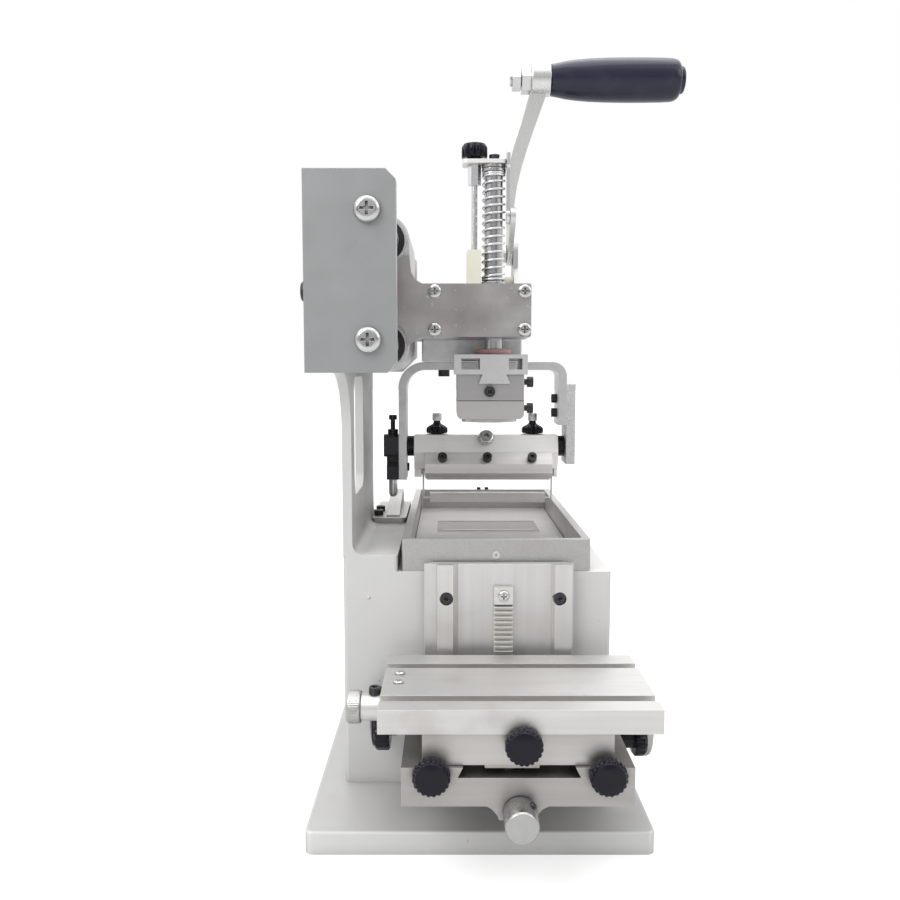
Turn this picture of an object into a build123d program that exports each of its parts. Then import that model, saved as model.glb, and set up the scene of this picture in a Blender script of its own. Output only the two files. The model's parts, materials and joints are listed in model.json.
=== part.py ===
"""Tabletop pad printing press, modelled as separate parts in one shared frame.

Millimetres. +X is the operator's right, +Y points away from the operator, +Z is up.
The origin is the centre of the base plate's bottom face.
"""
from build123d import *
import math
import os

os.makedirs("parts", exist_ok=True)

# ---------------------------------------------------------------- driving dimensions

BASE_HALF_WIDTH = 101.8
BASE_HALF_DEPTH = 155.0
BASE_THICK = 14.0

BODY_HALF_WIDTH = 85.0
BODY_FRONT = -93.0
BODY_REAR = 150.0
DECK_Z = 152.6          # deck that carries the ink tray
LEDGE_Z = 163.0         # raised ledge left of the tray
LEDGE_RIGHT = -50.5

HEAD_LEFT = -92.6
HEAD_RIGHT = -45.0
HEAD_FRONT = -183.0
HEAD_REAR = 108.0
HEAD_LOW = 278.5
HEAD_TOP = 382.0
LUG = 8.0               # thickness of the head's end walls
COVER = 3.0             # sheet covers of the head
FRONT_CHAMFER = 5.2
REAR_CHAMFER = 12.0

ROD_X = -59.5
ROD_Z = (295.5, 361.5)
ROD_R = 10.0
BEARING_R = 15.5
BEARING_LENGTH = 42.0
HOUSING_R = 16.5        # carriage wall round the bushings

TRAY_X = (-48.0, 72.0)
TRAY_Y = (-91.0, 149.0)
TRAY_TOP = 173.0
TRAY_WALL = 5.0
TRAY_FLOOR = 155.0
PLATE_THICK = 2.0
PRINT_X = 12.0          # centre line of the printed image

WAY_X = (-33.5, 60.4)   # vertical guideway on the body's front
WAY_Z = (36.0, 159.0)
WAY_FRONT = -98.5
RAIL_FRONT = -103.5
RAIL_SCREW_X = (-19.5, 51.2)
RAIL_SCREW_Z = (60.0, 137.7)

MODULE = 1.0
PINION_TEETH = 18
PINION_R = MODULE * PINION_TEETH / 2
RACK_PITCH_Y = -103.9
RACK_X = (10.2, 22.0)
SHAFT_Y = RACK_PITCH_Y - PINION_R
SHAFT_Z = 65.0
BACKLASH = 0.12
RACK_Z = (40.0, 145.0)
RACK_CAP_Z = 134.5      # the teeth stop below this plain end

CARRIAGE_Y = (-75.0, 10.0)
CARRIAGE_X = (-76.0, -43.0)
BEARING_STARTS = (CARRIAGE_Y[0], CARRIAGE_Y[1] - BEARING_LENGTH)
ARM_Z = (301.0, 334.0)
PAD_X = 11.5
PAD_Y = -48.0
PAD_SHAFT_R = 6.0
BRACKET_Z = (414.0, 416.6)
GUIDE_ROD_X = -1.2
GUIDE_TOP = 358.5       # top of the guide rod's nylon block
SHOULDER_Z = 401.0      # lower end of the guide rod's hexagon

SPRING_R = 7.2          # coil centre line
SPRING_WIRE_R = 0.6
SPRING_Z = (338.7, 408.7)
SPRING_TURNS = 16

PIVOT_Y = -13.0         # lever fulcrum
PIVOT_Z = 361.0
CRANK_R = 40.0
CRANK_ANGLE = math.radians(30)
CRANK_Y = PIVOT_Y - CRANK_R * math.cos(CRANK_ANGLE)
CRANK_Z = PIVOT_Z + CRANK_R * math.sin(CRANK_ANGLE)
LEVER_X = (22.4, 26.0)
LINK_X = (19.8, 22.0)
LINK_PIN_Y = -50.0
LINK_PIN_Z = 417.0
GRIP_Y = -36.0
GRIP_Z = 472.0
GRIP_X = (49.7, 136.9)

YOKE_Y = (30.0, 60.0)
TILT_Y = 45.0           # squeegee tilt axis
TILT_Z = 221.0
BAR_X = (-45.0, 66.0)
FOLLOWER_X = (-66.5, -57.2)
SPREADER_Z = 200.0
CLAMP_X = (-23.0, 11.2, 45.3)
CLAMP_EDGE = (32.0, 217.0)
PRESSURE_X = (-27.5, 47.2)

KNEE_X = (-43.0, 79.6)
KNEE_Y = (-200.0, -124.0)
KNEE_Z = (52.0, 73.0)
WING_Z = (48.0, 84.0)
WING_FRONT = -120.5     # front of the wings above the knee's top
FEED_X = 19.3           # cross-feed screw
FEED_Z = 49.0
SADDLE_X = (-32.0, 69.0)
SADDLE_Y = (-197.0, -127.0)
SADDLE_Z = (73.15, 90.9)
SADDLE_KNOB_Z = 86.4
FRONT_KNOB_X = (-27.0, 65.0)
TABLE_X = (-55.3, 94.2)
TABLE_Y = (-200.0, -110.0)
TABLE_Z = (91.0, 104.0)
TABLE_SCREW_Y = -169.0
TABLE_SCREW_Z = 94.0

RUN = 0.05              # radial running clearance of shafts in bores

# ---------------------------------------------------------------- basic solids


def block(x, y, z):
    """Box between three (low, high) pairs."""
    spans = (x, y, z)
    centre = [(low + high) / 2 for low, high in spans]
    size = [high - low for low, high in spans]
    return Pos(*centre) * Box(*size)


def rod(axis, span, centre, radius):
    """Cylinder along one axis over span; centre holds the two other coordinates."""
    low, high = span
    a, b = centre
    middle = (low + high) / 2
    places = {
        "X": Pos(middle, a, b) * Rot(0, 90, 0),
        "Y": Pos(a, middle, b) * Rot(90, 0, 0),
        "Z": Pos(a, b, middle),
    }
    return places[axis] * Cylinder(radius, high - low)


def across(axis, span):
    """Plane across an axis: (y, z) for X, (x, z) for Y and (x, y) for Z."""
    low, high = span
    planes = {
        "X": Plane((low, 0, 0), x_dir=(0, 1, 0), z_dir=(1, 0, 0)),
        "Y": Plane((0, high, 0), x_dir=(1, 0, 0), z_dir=(0, -1, 0)),
        "Z": Plane((0, 0, low)),
    }
    return planes[axis]


def prism(axis, outline, span):
    """Closed straight-sided outline across an axis, extruded over span."""
    face = make_face(Polyline(*outline, close=True))
    return extrude(across(axis, span) * face, span[1] - span[0])


def group(*pieces):
    """Separate solids kept together in one node."""
    return Compound([solid for piece in pieces for solid in piece.solids()])


def round_edges(part, axis, a, b, radius):
    """Fillet the edges parallel to an axis that lie at (a, b) in the other two."""
    keys = {"X": ("Y", "Z"), "Y": ("X", "Z"), "Z": ("X", "Y")}[axis]
    edges = []
    for edge in part.edges().filter_by(getattr(Axis, axis)):
        centre = edge.center()
        found = [getattr(centre, key) for key in keys]
        if abs(found[0] - a) < 0.05 and abs(found[1] - b) < 0.05:
            edges.append(edge)
    return fillet(edges, radius)


def aim(at, toward):
    """Frame at a point whose +Z points in the given direction."""
    return Plane(origin=at, z_dir=toward)


def cap_screw(at, toward, size, length):
    """Socket cap screw; at is the underside of its head."""
    head = Pos(0, 0, size / 2) * Cylinder(0.875 * size, size)
    socket = Pos(0, 0, size / 2) * extrude(RegularPolygon(0.43 * size, 6), size)
    shank = Pos(0, 0, -length / 2) * Cylinder(size / 2, length)
    return aim(at, toward) * (head - socket + shank)


def pan_screw(at, toward, size, length):
    """Domed cross-recess screw; at is the underside of its head."""
    height = 0.62 * size
    head = Pos(0, 0, height / 2) * Cylinder(size, height)
    head = fillet(head.faces().sort_by(Axis.Z)[-1].edges(), 0.45 * size)
    slot = Pos(0, 0, height) * Box(1.0 * size, 0.22 * size, 0.6 * size)
    cross = slot + Rot(0, 0, 90) * slot
    shank = Pos(0, 0, -length / 2) * Cylinder(size / 2, length)
    return aim(at, toward) * (head - cross + shank)


def star_knob(at, toward, radius, rim, hub, stud_r, stud, lobes=14):
    """Scalloped knob; at is the end of its hub, and the stud points back from it."""
    body = Pos(0, 0, hub + rim / 2) * Cylinder(radius, rim)
    body = fillet(body.edges().filter_by(GeomType.CIRCLE), 0.12 * radius)
    notch_r = 0.11 * radius
    for index in range(lobes):
        angle = 2 * math.pi * index / lobes
        notch = Pos(radius * math.cos(angle), radius * math.sin(angle), hub + rim / 2)
        body -= notch * Cylinder(notch_r, rim + 2)
    body += Pos(0, 0, (hub + 1) / 2) * Cylinder(0.55 * radius, hub + 1)
    if stud > 0:
        body += Pos(0, 0, -stud / 2 + 0.5) * Cylinder(stud_r, stud + 1)
    return aim(at, toward) * body


def hexagon(axis, span, centre, across_flats):
    """Hexagonal prism along X or Z."""
    face = RegularPolygon(across_flats / 2, 6, major_radius=False)
    return extrude(across(axis, span) * Pos(*centre) * face, span[1] - span[0])


# ---------------------------------------------------------------- fixed frame


def head_outline(chamfer):
    """End view (x, z) of the head, with its two right corners cut off."""
    return [
        (HEAD_LEFT, HEAD_LOW),
        (HEAD_RIGHT - chamfer, HEAD_LOW),
        (HEAD_RIGHT, HEAD_LOW + chamfer),
        (HEAD_RIGHT, HEAD_TOP - chamfer),
        (HEAD_RIGHT - chamfer, HEAD_TOP),
        (HEAD_LEFT, HEAD_TOP),
    ]


def make_guide_rods():
    return [rod("Y", (HEAD_FRONT, HEAD_REAR), (ROD_X, z), ROD_R) for z in ROD_Z]


def make_frame_pan_screws():
    """Four cover screws into the rod ends, one in the rack's top and one in the tray."""
    length = 20.0
    screws = []
    for z in ROD_Z:
        screws.append(pan_screw((ROD_X, HEAD_FRONT - COVER, z), (0, -1, 0), 7, length))
        screws.append(pan_screw((ROD_X, HEAD_REAR + COVER, z), (0, 1, 0), 7, length))
    rack_middle = sum(RACK_X) / 2
    screws.append(pan_screw((rack_middle, RACK_PITCH_Y - 0.8 * MODULE, 140), (0, -1, 0), 3.6, 10))
    screws.append(cap_screw((PRINT_X, TRAY_Y[0] + 2.6, 163.0), (0, -1, 0), 2.8, 2.2))
    return group(*screws)


def make_frame_black_screws():
    """Cap screws of the rails, ramp and tray's rear wall, and the stop bolt in the head's side."""
    screws = []
    for x in RAIL_SCREW_X:
        for z in RAIL_SCREW_Z:
            screws.append(cap_screw((x, RAIL_FRONT + 4.3, z), (0, -1, 0), 4, 12))
    for y in (42.0, 62.0):
        screws.append(cap_screw((-73.0, y, LEDGE_Z + 4), (0, 0, 1), 4, 12))
    for x in (PRINT_X - 3.5, PRINT_X + 3.5):
        screws.append(cap_screw((x, TRAY_Y[1] - 2.5, TRAY_TOP), (0, 0, 1), 2, 6))
    stop = rod("X", (HEAD_LEFT - 4, HEAD_LEFT), (-168, 321.6), 5.6)
    stop = fillet(stop.faces().sort_by(Axis.X)[0].edges(), 2)
    screws.append(stop + rod("X", (HEAD_LEFT - 1, HEAD_LEFT + 8), (-168, 321.6), 3))
    return group(*screws)


def make_base_plate():
    plate = block(
        (-BASE_HALF_WIDTH, BASE_HALF_WIDTH),
        (-BASE_HALF_DEPTH, BASE_HALF_DEPTH),
        (0, BASE_THICK),
    )
    plate = fillet(plate.edges().filter_by(Axis.Z), 5)
    return fillet(plate.faces().sort_by(Axis.Z)[-1].edges(), 1.8)


def make_side_wall():
    """Thin column on the body's left side, with its window and forward sweep."""
    wall_x = (-BODY_HALF_WIDTH, -79.0)
    sweep = 40.0
    wall_rear = 65.0
    wall = block(wall_x, (BODY_FRONT, wall_rear), (LEDGE_Z - 1, HEAD_LOW + 22))
    nose = block(wall_x, (BODY_FRONT - sweep, BODY_FRONT), (HEAD_LOW - sweep, HEAD_LOW + 12))
    nose -= rod("X", (-86, -78), (BODY_FRONT - sweep, HEAD_LOW - sweep), sweep)
    root_r = 7.0
    root = block((-79, -79 + root_r), (BODY_FRONT, wall_rear), (LEDGE_Z - 1, LEDGE_Z + root_r))
    root -= rod("Y", (-94, 66), (-79 + root_r, LEDGE_Z + root_r), root_r)
    window = block((-90, -70), (-75, -15), (198.5, 275.5))
    window = fillet(window.edges().filter_by(Axis.X), 10)
    return wall + nose + root - window


def make_body_casting(cutters):
    pedestal = block(
        (-BODY_HALF_WIDTH, BODY_HALF_WIDTH), (BODY_FRONT, BODY_REAR), (BASE_THICK, DECK_Z)
    )
    pedestal = fillet(pedestal.edges().filter_by(Axis.Z), 2.5)
    ledge = block((-BODY_HALF_WIDTH, LEDGE_RIGHT), (BODY_FRONT, BODY_REAR), (DECK_Z - 1, LEDGE_Z))
    ledge = fillet(ledge.edges().filter_by(Axis.Z), 2.4)
    head_side = block((HEAD_LEFT, -84), (HEAD_FRONT, HEAD_REAR), (HEAD_LOW, HEAD_TOP))
    front_wall = prism("Y", head_outline(FRONT_CHAMFER), (HEAD_FRONT, HEAD_FRONT + LUG))
    rear_wall = prism("Y", head_outline(REAR_CHAMFER), (HEAD_REAR - LUG, HEAD_REAR))
    casting = pedestal + ledge + make_side_wall() + head_side + front_wall + rear_wall
    return casting - cutters


def make_head_covers(screws):
    front = prism("Y", head_outline(FRONT_CHAMFER), (HEAD_FRONT - COVER, HEAD_FRONT))
    rear = prism("Y", head_outline(REAR_CHAMFER), (HEAD_REAR, HEAD_REAR + COVER))
    return group(front - screws, rear - screws)


def make_ink_tray():
    tray = block(TRAY_X, TRAY_Y, (DECK_Z, TRAY_TOP))
    tray = fillet(tray.edges().filter_by(Axis.Z), 1.5)
    inner_x = (TRAY_X[0] + TRAY_WALL, TRAY_X[1] - TRAY_WALL)
    inner_y = (TRAY_Y[0] + TRAY_WALL, TRAY_Y[1] - TRAY_WALL)
    hollow = block(inner_x, inner_y, (TRAY_FLOOR, TRAY_TOP + 1))
    return tray - fillet(hollow.edges().filter_by(Axis.Z), 2)


def make_printing_plate():
    """Steel plate in the tray with a shallow etched panel."""
    gap = 0.6
    edge = TRAY_WALL + gap
    plate = block(
        (TRAY_X[0] + edge, TRAY_X[1] - edge),
        (TRAY_Y[0] + edge, TRAY_Y[1] - edge),
        (TRAY_FLOOR, TRAY_FLOOR + PLATE_THICK),
    )
    plate = fillet(plate.edges().filter_by(Axis.Z), 2)
    etched = block((-27, 51), (21, 72), (TRAY_FLOOR + PLATE_THICK - 0.4, TRAY_TOP))
    return plate - fillet(etched.edges().filter_by(Axis.Z), 1.5)


def make_cam_ramp():
    """Wedge that tips the squeegee's follower, on its screwed base."""
    foot_z = LEDGE_Z + 4
    foot = block((-77, -51), (27, 113), (LEDGE_Z, foot_z))
    foot = fillet(foot.edges().filter_by(Axis.Z), 3)
    rise = [(34, foot_z - 1), (34, foot_z + 1), (80, 179), (104, 179), (108, foot_z - 1)]
    return foot + prism("X", rise, (-66.5, -56.5))


def make_guideway_plate():
    undercut = 5.0
    outline = [
        (WAY_X[0] + undercut, BODY_FRONT),
        (WAY_X[1] - undercut, BODY_FRONT),
        (WAY_X[1], WAY_FRONT),
        (WAY_X[0], WAY_FRONT),
    ]
    return prism("Z", outline, WAY_Z)


def make_guide_rails():
    """Two bolted rails with bevelled inner edges and counterbored holes."""
    left = [(-25.4, WAY_FRONT), (-12.3, WAY_FRONT), (-15.4, RAIL_FRONT), (-25.4, RAIL_FRONT)]
    right = [(46.5, WAY_FRONT), (59.0, WAY_FRONT), (59.0, RAIL_FRONT), (48.3, RAIL_FRONT)]
    rails = [prism("Z", outline, WAY_Z) for outline in (left, right)]
    holes = [
        rod("Y", (RAIL_FRONT - 1, RAIL_FRONT + 4.3), (x, z), 4.2)
        for x in RAIL_SCREW_X
        for z in RAIL_SCREW_Z
    ]
    return [rail - group(*holes) for rail in rails]


def make_elevation_rack():
    """Toothed rack with 20 degree flanks, its teeth facing the operator."""
    pitch = math.pi * MODULE
    slope = math.tan(math.radians(20))
    addendum = 0.8 * MODULE
    dedendum = 1.35 * MODULE
    half = pitch / 4 - BACKLASH
    root_y = RACK_PITCH_Y + dedendum
    tip_y = RACK_PITCH_Y - addendum
    rack = block(RACK_X, (root_y, WAY_FRONT), RACK_Z)
    rack += block(RACK_X, (tip_y, root_y + 0.5), (RACK_CAP_Z, RACK_Z[1]))
    first = -8
    last = 21
    for index in range(first, last + 1):
        middle = SHAFT_Z + (index + 0.5) * pitch
        root_half = half + dedendum * slope
        tip_half = half - addendum * slope
        tooth = [
            (root_y + 0.3, middle - root_half),
            (root_y, middle - root_half),
            (tip_y, middle - tip_half),
            (tip_y, middle + tip_half),
            (root_y, middle + root_half),
            (root_y + 0.3, middle + root_half),
        ]
        rack += prism("X", tooth, RACK_X)
    return rack


# ---------------------------------------------------------------- carriage


def make_carriage_block():
    """Carriage whose right side is rounded about the two guide rods."""
    left, right = CARRIAGE_X
    body = block((left, ROD_X), CARRIAGE_Y, (ROD_Z[0] - HOUSING_R, ROD_Z[1] + HOUSING_R))
    body += block((ROD_X - 1, right), CARRIAGE_Y, ROD_Z)
    for z in ROD_Z:
        body += rod("Y", CARRIAGE_Y, (ROD_X, z), HOUSING_R)
    for z in ROD_Z:
        body -= rod("Y", (CARRIAGE_Y[0] - 1, CARRIAGE_Y[1] + 1), (ROD_X, z), ROD_R + 3)
        for start in BEARING_STARTS:
            body -= rod("Y", (start, start + BEARING_LENGTH), (ROD_X, z), BEARING_R)
    return body


def make_linear_bearings():
    """Four ball bushings, two on each rod, with a retaining groove at the outer ends."""
    front = CARRIAGE_Y[0]
    pieces = []
    for z in ROD_Z:
        for start in BEARING_STARTS:
            shell = rod("Y", (start, start + BEARING_LENGTH), (ROD_X, z), BEARING_R)
            bore = rod("Y", (start - 1, start + BEARING_LENGTH + 1), (ROD_X, z), ROD_R + RUN)
            groove_at = start + 0.8 if start == front else start + BEARING_LENGTH - 0.8
            groove = rod("Y", (groove_at - 0.9, groove_at + 0.9), (ROD_X, z), BEARING_R - 1.4)
            groove -= rod("Y", (groove_at - 2, groove_at + 2), (ROD_X, z), BEARING_R - 2.2)
            pieces.append(shell - bore - groove)
    return group(*pieces)


def make_arm_front_plate():
    """Ground plate on the arm's front that flares between the two bearings."""
    right = 34.3
    low, top = ARM_Z[0], ARM_Z[1] + 0.5
    outline = [
        (right, low),
        (right, top),
        (-35.0, top),
        (-39.5, 337.0),
        (-42.0, 342.0),
        (-43.0, 352.0),
        (-47.0, 352.0),
        (-57.0, 344.0),
        (-57.0, 314.0),
        (-47.0, 306.5),
        (-43.0, 296.0),
        (-40.0, 298.5),
        (-36.0, 300.6),
        (-33.0, low),
    ]
    plate = prism("Y", outline, (CARRIAGE_Y[0] - 3, CARRIAGE_Y[0]))
    for corner_z in (low, top):
        plate = round_edges(plate, "Y", right, corner_z, 1.5)
    return plate


def make_arm_block():
    """Arm that carries the pad shaft, with a lower shelf for the yoke bracket."""
    arm = block((-43, 34), (CARRIAGE_Y[0], -22), ARM_Z)
    arm += block((-43, 20), (-22, 20), (ARM_Z[0], 318))
    arm -= rod("Z", (300, 340), (PAD_X, PAD_Y), PAD_SHAFT_R + RUN)
    arm -= rod("Z", (300, 340), (GUIDE_ROD_X, PAD_Y), 2.4)
    return arm - block((26.4, 29.8), (-40, 0), (318, 340))


def make_arm_screws():
    front = CARRIAGE_Y[0] - 3
    return group(*[
        pan_screw((x, front, z), (0, -1, 0), 4.4, 12) for x in (-27.0, 30.0) for z in (305.5, 329.5)
    ])


def make_nylon_parts():
    """Guide block of the anti-rotation rod, and the lever's stop bush."""
    guide = block((-6.2, 3.2), (-56, -40), (ARM_Z[1], GUIDE_TOP))
    guide = round_edges(guide, "Y", -6.2, ARM_Z[1], 4.5)
    guide = round_edges(guide, "Y", -6.2, GUIDE_TOP, 1.5)
    guide -= rod("Z", (330, 370), (GUIDE_ROD_X, PAD_Y), 2.0 + RUN)
    bush = rod("X", (20.5, 26.4), (-26, 339.6), 4.2)
    return group(guide, bush)


def make_return_spring():
    """Open compression spring round the pad shaft."""
    low, high = SPRING_Z
    path = Helix(pitch=(high - low) / SPRING_TURNS, height=high - low, radius=SPRING_R)
    section = Plane(origin=path @ 0, z_dir=path % 0) * Circle(SPRING_WIRE_R)
    coil = sweep(section, path=path, is_frenet=True)
    return Pos(PAD_X, PAD_Y, low) * coil


def make_fulcrum_plate():
    outline = [(-40, 318), (-3, 318), (-3, PIVOT_Z), (-23, PIVOT_Z), (-23, 350), (-40, 334)]
    plate = prism("X", outline, (26.4, 29.8)) + rod("X", (26.4, 29.8), (PIVOT_Y, PIVOT_Z), 10)
    return plate


def make_lever_pivot_bolt():
    """Shoulder bolt flush with its plate, and the washer under the return spring."""
    bolt = rod("X", (19.9, 29.8), (PIVOT_Y, PIVOT_Z), 4)
    bolt += hexagon("X", (19.9, 22.1), (PIVOT_Y, PIVOT_Z), 12)
    washer = rod("Z", (ARM_Z[1], 338), (PAD_X, PAD_Y), 8)
    washer -= rod("Z", (330, 340), (PAD_X, PAD_Y), PAD_SHAFT_R + 0.3)
    return group(bolt, washer)


def make_yoke_bracket():
    slab = block((-37, 33), (-20, YOKE_Y[1]), (286, ARM_Z[0]))
    return fillet(slab.edges().filter_by(Axis.Z), 1)


def make_yoke():
    """Bent flat bar in the shape of an upturned U, its right leg shorter."""
    left, right, low, top = -56.5, 71.5, 196.0, 286.0
    thick = 6.0
    yoke = block((left, right), YOKE_Y, (low, top))
    yoke = round_edges(yoke, "Y", left, top, 20)
    yoke = round_edges(yoke, "Y", right, top, 11)
    inner_deep = (YOKE_Y[0] - 1, YOKE_Y[1] + 1)
    inner = block((left + thick, right - thick), inner_deep, (low - 1, top - thick))
    inner = round_edges(inner, "Y", left + thick, top - thick, 14)
    inner = round_edges(inner, "Y", right - thick, top - thick, 5)
    yoke -= inner
    yoke -= block((right - thick - 1, right + 1), inner_deep, (low - 1, 238))
    return yoke - rod("X", (left - 1, left + thick + 1), (TILT_Y, TILT_Z), 4 + RUN)


def make_yoke_side_plate():
    plate = block((71.5, 78.2), YOKE_Y, (208, 270))
    plate = fillet(plate.edges().filter_by(Axis.X), 1.5)
    return plate - rod("X", (70, 80), (TILT_Y, TILT_Z), 4 + RUN)


def make_yoke_screws():
    side = [cap_screw((65.5, 45, z), (-1, 0, 0), 4, 10) for z in (258, 247)]
    top = [cap_screw((x, 45, 280), (0, 0, -1), 5, 14) for x in (-22, 20)]
    stop = rod("X", (-50.5, -49.0), (45, 204.5), 3.2)
    return group(*side, *top, stop)


# ---------------------------------------------------------------- lever and link


def capsule(centre_a, radius_a, centre_b, radius_b, span):
    """Flat plate across X with round ends of two radii about two points."""
    (ya, za), (yb, zb) = centre_a, centre_b
    length = math.hypot(yb - ya, zb - za)
    along_y, along_z = (yb - ya) / length, (zb - za) / length
    side_y, side_z = -along_z, along_y
    outline = [
        (ya + radius_a * side_y, za + radius_a * side_z),
        (yb + radius_b * side_y, zb + radius_b * side_z),
        (yb - radius_b * side_y, zb - radius_b * side_z),
        (ya - radius_a * side_y, za - radius_a * side_z),
    ]
    plate = prism("X", outline, span)
    plate += rod("X", span, centre_a, radius_a)
    return plate + rod("X", span, centre_b, radius_b)


def make_lever_arm():
    """Bell crank cut from flat bar; its long leg bends out to the grip."""
    left, right = LEVER_X
    inner = Spline((left, 404), (23.8, 422), (30.4, 444), (36.8, 467), tangents=[(0, 1), (0.3, 1)])
    outer = Spline((47.8, 466), (41.6, 448), (31.6, 418), (right, 376), tangents=[(-0.3, -1), (0, -1)])
    edges = [
        Line((left, 340), (left, 404)),
        inner,
        Line((36.8, 467), (47.8, 466)),
        outer,
        Line((right, 376), (right, 340)),
        Line((right, 340), (left, 340)),
    ]
    profile = extrude(across("Y", (-70, 10)) * make_face(edges), 80)
    side = capsule((PIVOT_Y, PIVOT_Z), 8, (GRIP_Y, GRIP_Z), 5, (0, 60))
    leg = profile & side
    crank = capsule((PIVOT_Y, PIVOT_Z), 8, (CRANK_Y, CRANK_Z), 6, LEVER_X)
    boss = rod("X", (36.4, 49.3), (GRIP_Y, GRIP_Z), 10.5)
    boss = fillet(boss.edges().filter_by(GeomType.CIRCLE), 0.8)
    arm = leg + crank + boss
    arm -= rod("X", (20, 30), (PIVOT_Y, PIVOT_Z), 4 + RUN)
    return arm


def make_lever_pins():
    """Crank pin, and the grip's spindle with its nuts."""
    pin = rod("X", (19.7, LEVER_X[1]), (CRANK_Y, CRANK_Z), 2.5)
    spindle = rod("X", (22.5, GRIP_X[1] - 7), (GRIP_Y, GRIP_Z), 4)
    nut = hexagon("X", (30.2, 36.4), (GRIP_Y, GRIP_Z), 16)
    thin_nut = hexagon("X", (24.0, 29.6), (GRIP_Y, GRIP_Z), 12.5)
    return group(pin, spindle, nut - spindle, thin_nut - spindle)


def make_handle_grip():
    """Turning grip with a swelling body and a separate end cap."""
    left, right = GRIP_X
    shoulder = right - 6
    lower = (left, 4 + RUN)
    profile = [
        Line(lower, (left, 10.2)),
        Spline((left, 10.2), (60, 12.4), (80, 13.8), (108, 14.1), (shoulder, 13.6)),
        RadiusArc((shoulder, 13.6), (right - 2, 9.6), 4.4),
        Line((right - 2, 9.6), (right - 2, 0)),
        Line((right - 2, 0), (shoulder, 0)),
        Line((shoulder, 0), (shoulder, 4 + RUN)),
        Line((shoulder, 4 + RUN), lower),
    ]
    face = Plane((0, GRIP_Y, GRIP_Z), x_dir=(1, 0, 0), z_dir=(0, -1, 0)) * make_face(profile)
    grip = revolve(face, Axis((0, GRIP_Y, GRIP_Z), (1, 0, 0)))
    cap = rod("X", (right - 2, right + 1.4), (GRIP_Y, GRIP_Z), 8.6)
    cap = fillet(cap.faces().sort_by(Axis.X)[-1].edges(), 1.6)
    return group(grip, cap)


def make_drive_link():
    """Link from the crank pin to the slotted eye round the ram's pin."""
    lower = rod("X", LINK_X, (CRANK_Y, CRANK_Z), 5)
    strap = block(LINK_X, (CRANK_Y - 4, CRANK_Y + 4), (CRANK_Z, 412))
    eye = block(LINK_X, (-56, -38.5), (410.5, 423))
    eye = fillet(eye.edges().filter_by(Axis.X), 3)
    link = lower + strap + eye
    link -= rod("X", (15, 25), (CRANK_Y, CRANK_Z), 2.5 + RUN)
    slot = block((15, 25), (-52.5, -42.1), (414.0, 419.4))
    return link - fillet(slot.edges().filter_by(Axis.X), 1.5)


# ---------------------------------------------------------------- pad ram


def make_pad_shaft():
    """Pad shaft with the collar rings that hold the spring's top."""
    shaft = rod("Z", (277, BRACKET_Z[1]), (PAD_X, PAD_Y), PAD_SHAFT_R)
    for z in (409.4, 411.9):
        shaft += rod("Z", (z, z + 1.9), (PAD_X, PAD_Y), 7.9)
    return shaft


def make_cushion_washer(shaft):
    washer = rod("Z", (290, 294), (PAD_X, PAD_Y), 12)
    return fillet(washer.edges().filter_by(GeomType.CIRCLE), 1.6) - shaft


def make_shaft_top_bracket(shaft):
    """Top plate that ties the shaft, guide rod and link pin together."""
    plate = block((-9, 19.3), (-56, -40), BRACKET_Z)
    plate = fillet(plate.edges().filter_by(Axis.Z), 3)
    plate -= rod("Z", (410, 425), (GUIDE_ROD_X, PAD_Y), 2.0 + RUN)
    pin = rod("X", (15, 22.1), (LINK_PIN_Y, LINK_PIN_Z), 2)
    return plate - shaft + (pin - shaft)


def make_anti_rotation_rod():
    """Thin guide rod with its hexagonal shoulder under the bracket."""
    thin = rod("Z", (350, 413.9), (GUIDE_ROD_X, PAD_Y), 2)
    return thin + hexagon("Z", (SHOULDER_Z, 413.9), (GUIDE_ROD_X, PAD_Y), 7.6)


def make_dovetail_bracket(shaft):
    """Bracket with two windows and a flared tongue under it."""
    deep = (-70, -26)
    plate = block((-14.7, 33), deep, (277, 290))
    for window_x in ((-10, 2.1), (20.8, 29.5)):
        plate -= block(window_x, (-71, -25), (280.3, 287.4))
    tongue = [(4, 277.5), (19, 277.5), (22, 271), (1, 271)]
    plate = plate + prism("Y", tongue, deep)
    return plate - shaft


def make_pad_holder(bracket, screws):
    holder = block((-13, 31), (-68, -28), (260, 276.9))
    holder = fillet(holder.edges().filter_by(Axis.Z), 1)
    return holder - bracket - screws


def make_pad_clamp_plate(screws):
    """Lower plate with rounded lower corners, and the plated disc under it."""
    plate = block((-13, 31), (-68, -28), (248, 260))
    for x in (-13, 31):
        plate = round_edges(plate, "Y", x, 248, 3.5)
    disc = rod("Z", (245.6, 248), (PAD_X - 2.5, PAD_Y), 18.5)
    return group(plate - screws, disc)


def make_ram_screws():
    """Cap screws of the holder, and the one on the shaft's top."""
    front = cap_screw((8.5, -68, 266), (0, -1, 0), 4, 8)
    upper = cap_screw((34.5, PAD_Y, 272), (1, 0, 0), 4, 11)
    lower = cap_screw((34.5, PAD_Y, 254.5), (1, 0, 0), 4, 11)
    top = cap_screw((PAD_X + 0.4, PAD_Y, BRACKET_Z[1]), (0, 0, 1), 4, 8)
    return group(front, upper, lower, top)


# ---------------------------------------------------------------- squeegee


def make_squeegee_bar():
    """Bar with a sloping front and an ear at each end."""
    outline = [(37, 204), (33, 217), (38, 230), (55, 230), (55, 204)]
    bar = prism("X", outline, BAR_X)
    for ear_x in ((BAR_X[0], -39.5), (63.5, BAR_X[1])):
        bar += block(ear_x, (40, 50), (197, 205))
    return bar


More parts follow.
